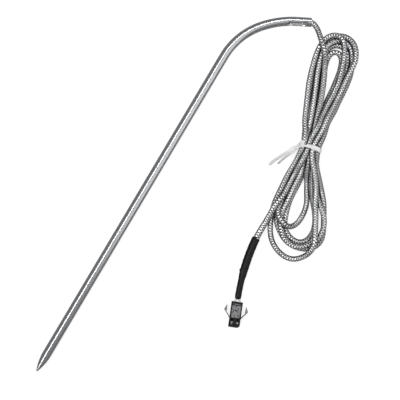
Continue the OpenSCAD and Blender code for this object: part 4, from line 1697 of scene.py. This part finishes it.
        # Past the twist, the end turns to its own heading and leans over as it falls
        u = t[1:]
        ease = np.clip(u / 0.3, 0, 1)
        steps = (way[-1] * (1 - ease) + along * ease) * tail.length / (self.tail_steps - 1)
        end = twist[-1] + np.cumsum(steps, axis=0)
        level = np.cross(along, [0, 0, 1.0])
        level /= np.linalg.norm(level)
        end += tail.bow * (np.sin(u * math.pi) * u) * level
        end[:, 2] = np.maximum(end[:, 2], self.width / 2 * math.sin(lean) + 0.25)
        leaned = math.cos(lean) * level + math.sin(lean) * np.array([0, 0, 1.0])
        leaned *= 1 if np.dot(flat[-1], leaned) > 0 else -1
        mix = np.clip(u / 0.4, 0, 1)
        flats = (1 - mix) * flat[-1] + mix * leaned
        return self.ribbon(name, np.vstack([twist, end]), np.vstack([flat, flats]))

    def build(self, line: Points) -> bpy.types.Object:
        """Makes the loop and both tails and joins them.

        Args:
            line: The cable's settled middle line, from the mouth.

        Returns:
            The tie.
        """
        from_waist = line[:, :2] - self.hank.waist
        tied = np.abs(from_waist @ self.hank.through) < self.width / 2 + 0.3
        strands = np.column_stack([(from_waist @ self.hank.across)[tied], line[tied, 2]])
        obj = self.loop(strands)
        tails = [self.tail(f"tie_tail_{i}", 1 - 2 * i, tail) for i, tail in enumerate(self.tails)]
        only(obj)
        for tail in tails:
            tail.select_set(True)
        bpy.ops.object.join()
        obj.name = obj.data.name = "tie"
        dress(obj, Finishes.TIE, angle=50)
        return settle(obj, self.body, ["twist_tie"])


# ---------------------------------------------------------------- inner pieces and studio


@dataclass
class Inside:
    """The pieces in the tube and the housing, which keep their CAD shape."""

    finishes: tuple[tuple[str, Finishes], ...] = (
        ("sensor_bead", Finishes.BEAD), ("sensor_potting", Finishes.POTTING),
        ("sensor_lead_1", Finishes.TINNED), ("sensor_lead_2", Finishes.TINNED),
        ("splice_1", Finishes.BRASS), ("splice_2", Finishes.BRASS),
        ("core_1", Finishes.CORE), ("core_2", Finishes.CORE), ("braid_end", Finishes.PRESSED_BRAID),
        # The conductors carry painted shade: a dark brown metal
        ("conductor_1", Finishes.CRIMPED), ("conductor_2", Finishes.CRIMPED))

    def build(self) -> list[bpy.types.Object]:
        """Gives each piece its finish.

        Returns:
            The pieces.
        """
        pieces = []
        for name, finish in self.finishes:
            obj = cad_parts[name]
            obj.data.materials.clear()
            obj.data.materials.append(finish.material())
            pieces.append(obj)
            log.info("%s is %s", name, finish.value.name)
        return pieces


@dataclass
class Studio:
    """A pale floor, soft light from above and a camera that looks straight down.

    The camera sees `width` millimetres from `height` over `centre`. The lamps' places and
    sizes are in metres and their power is in watts.
    """

    width: float = 173.9
    height: float = 900.0
    centre: tuple[float, float] = (3.65, -10.9)
    up_heading: float = 30.75
    strip: Triple = (-0.15, 0.17, 0.5)
    strip_size: tuple[float, float] = (1.4, 0.06)
    strip_power: float = 2.4
    soft: Triple = (0.22, -0.31, 0.39)
    soft_size: tuple[float, float] = (0.56, 0.7)
    soft_power: float = 0.95
    floor_size: float = 1.6
    floor_glow: float = 0.82

    def floor(self) -> None:
        """Lays the floor, which the camera sees as white outside the object's shadow."""
        only(None)
        # A tenth of a millimetre under the object, so that no two faces lie in one plane
        bpy.ops.mesh.primitive_plane_add(size=self.floor_size, location=(0, 0, -0.1 * MM))
        plane = bpy.context.object
        plane.name = "floor"
        material = bpy.data.materials.new("white_paper")
        material.use_nodes = True
        tree = material.node_tree
        tree.nodes.clear()
        paper = add_node(tree, "BsdfDiffuse", {"Color": "#A4A4A4"})
        glow = add_node(tree, "Emission", {"Color": "#FFFFFF", "Strength": self.floor_glow})
        seen = add_node(tree, "AddShader", [paper, glow])
        path = add_node(tree, "LightPath")
        mixed = add_node(tree, "MixShader", [(path, "Is Camera Ray"), paper, seen])
        add_node(tree, "OutputMaterial", {"Surface": mixed})
        plane.data.materials.append(material)

    def world(self) -> None:
        """Surrounds the scene with grey that darkens towards the horizon."""
        world = bpy.data.worlds.new("studio")
        world.use_nodes = True
        bpy.context.scene.world = world
        tree = world.node_tree
        tree.nodes.clear()
        way = add_node(tree, "SeparateXYZ", [(add_node(tree, "TexCoord"), "Generated")])
        shade = add_node(tree, "MapRange", {
            "Value": (way, "Z"), "From Min": 0.0, "From Max": 0.4, "To Min": 0.04, "To Max": 0.3})
        grey = add_node(tree, "CombineXYZ", [shade, shade, shade])
        sky = add_node(tree, "Background", {"Color": grey, "Strength": 1.0})
        white = add_node(tree, "Background", {"Color": "#FFFFFF", "Strength": 1.0})
        path = add_node(tree, "LightPath")
        mixed = add_node(tree, "MixShader", [(path, "Is Camera Ray"), sky, white])
        add_node(tree, "OutputWorld", {"Surface": mixed})

    def lamp(self, name: str, at: Triple, size: tuple[float, float], power: float) -> None:
        """Hangs a softbox that faces the object's middle, with its width along the shaft.

        Args:
            name: The lamp's name.
            at: Its place in metres.
            size: Its width and depth in metres.
            power: Its power in watts.
        """
        data = bpy.data.lights.new(name, "AREA")
        data.shape = "RECTANGLE"
        data.size, data.size_y = size
        data.energy = power
        lamp = bpy.data.objects.new(name, data)
        lamp.location = at
        lamp.rotation_euler = (-math.atan2(at[1], at[2]), 0, 0)
        bpy.context.scene.collection.objects.link(lamp)

    def camera(self) -> None:
        """Sets the camera straight above, turned so that the shaft runs up to the right."""
        data = bpy.data.cameras.new("camera")
        data.sensor_width = 36.0
        data.lens = 36.0 * self.height / self.width
        data.clip_end = 10
        camera = bpy.data.objects.new("camera", data)
        camera.location = (self.centre[0] * MM, self.centre[1] * MM, self.height * MM)
        camera.rotation_euler = (0, 0, math.radians(self.up_heading - 90))
        bpy.context.scene.collection.objects.link(camera)
        bpy.context.scene.camera = camera

    def build(self) -> None:
        """Sets up the whole studio."""
        bpy.context.scene.view_settings.view_transform = "Standard"
        self.floor()
        self.world()
        self.lamp("strip", self.strip, self.strip_size, self.strip_power)
        self.lamp("soft", self.soft, self.soft_size, self.soft_power)
        self.camera()
        log.info("the studio is set")


def main() -> None:
    """Builds the probe from its tip to its connector, then the studio."""
    logging.basicConfig(level=logging.INFO, format="%(message)s")
    Inside().build()
    Tube().build()
    sleeves = Sleeves()
    ends = sleeves.build() + Connector(sleeves).build()
    hank = Hank()
    cable = hank.build(ends)
    Tie(hank).build(hank.line)
    Studio().build()
    log.info("%s ends in %d pieces", cable.name, len(ends))


if __name__ == "__main__":
    main()
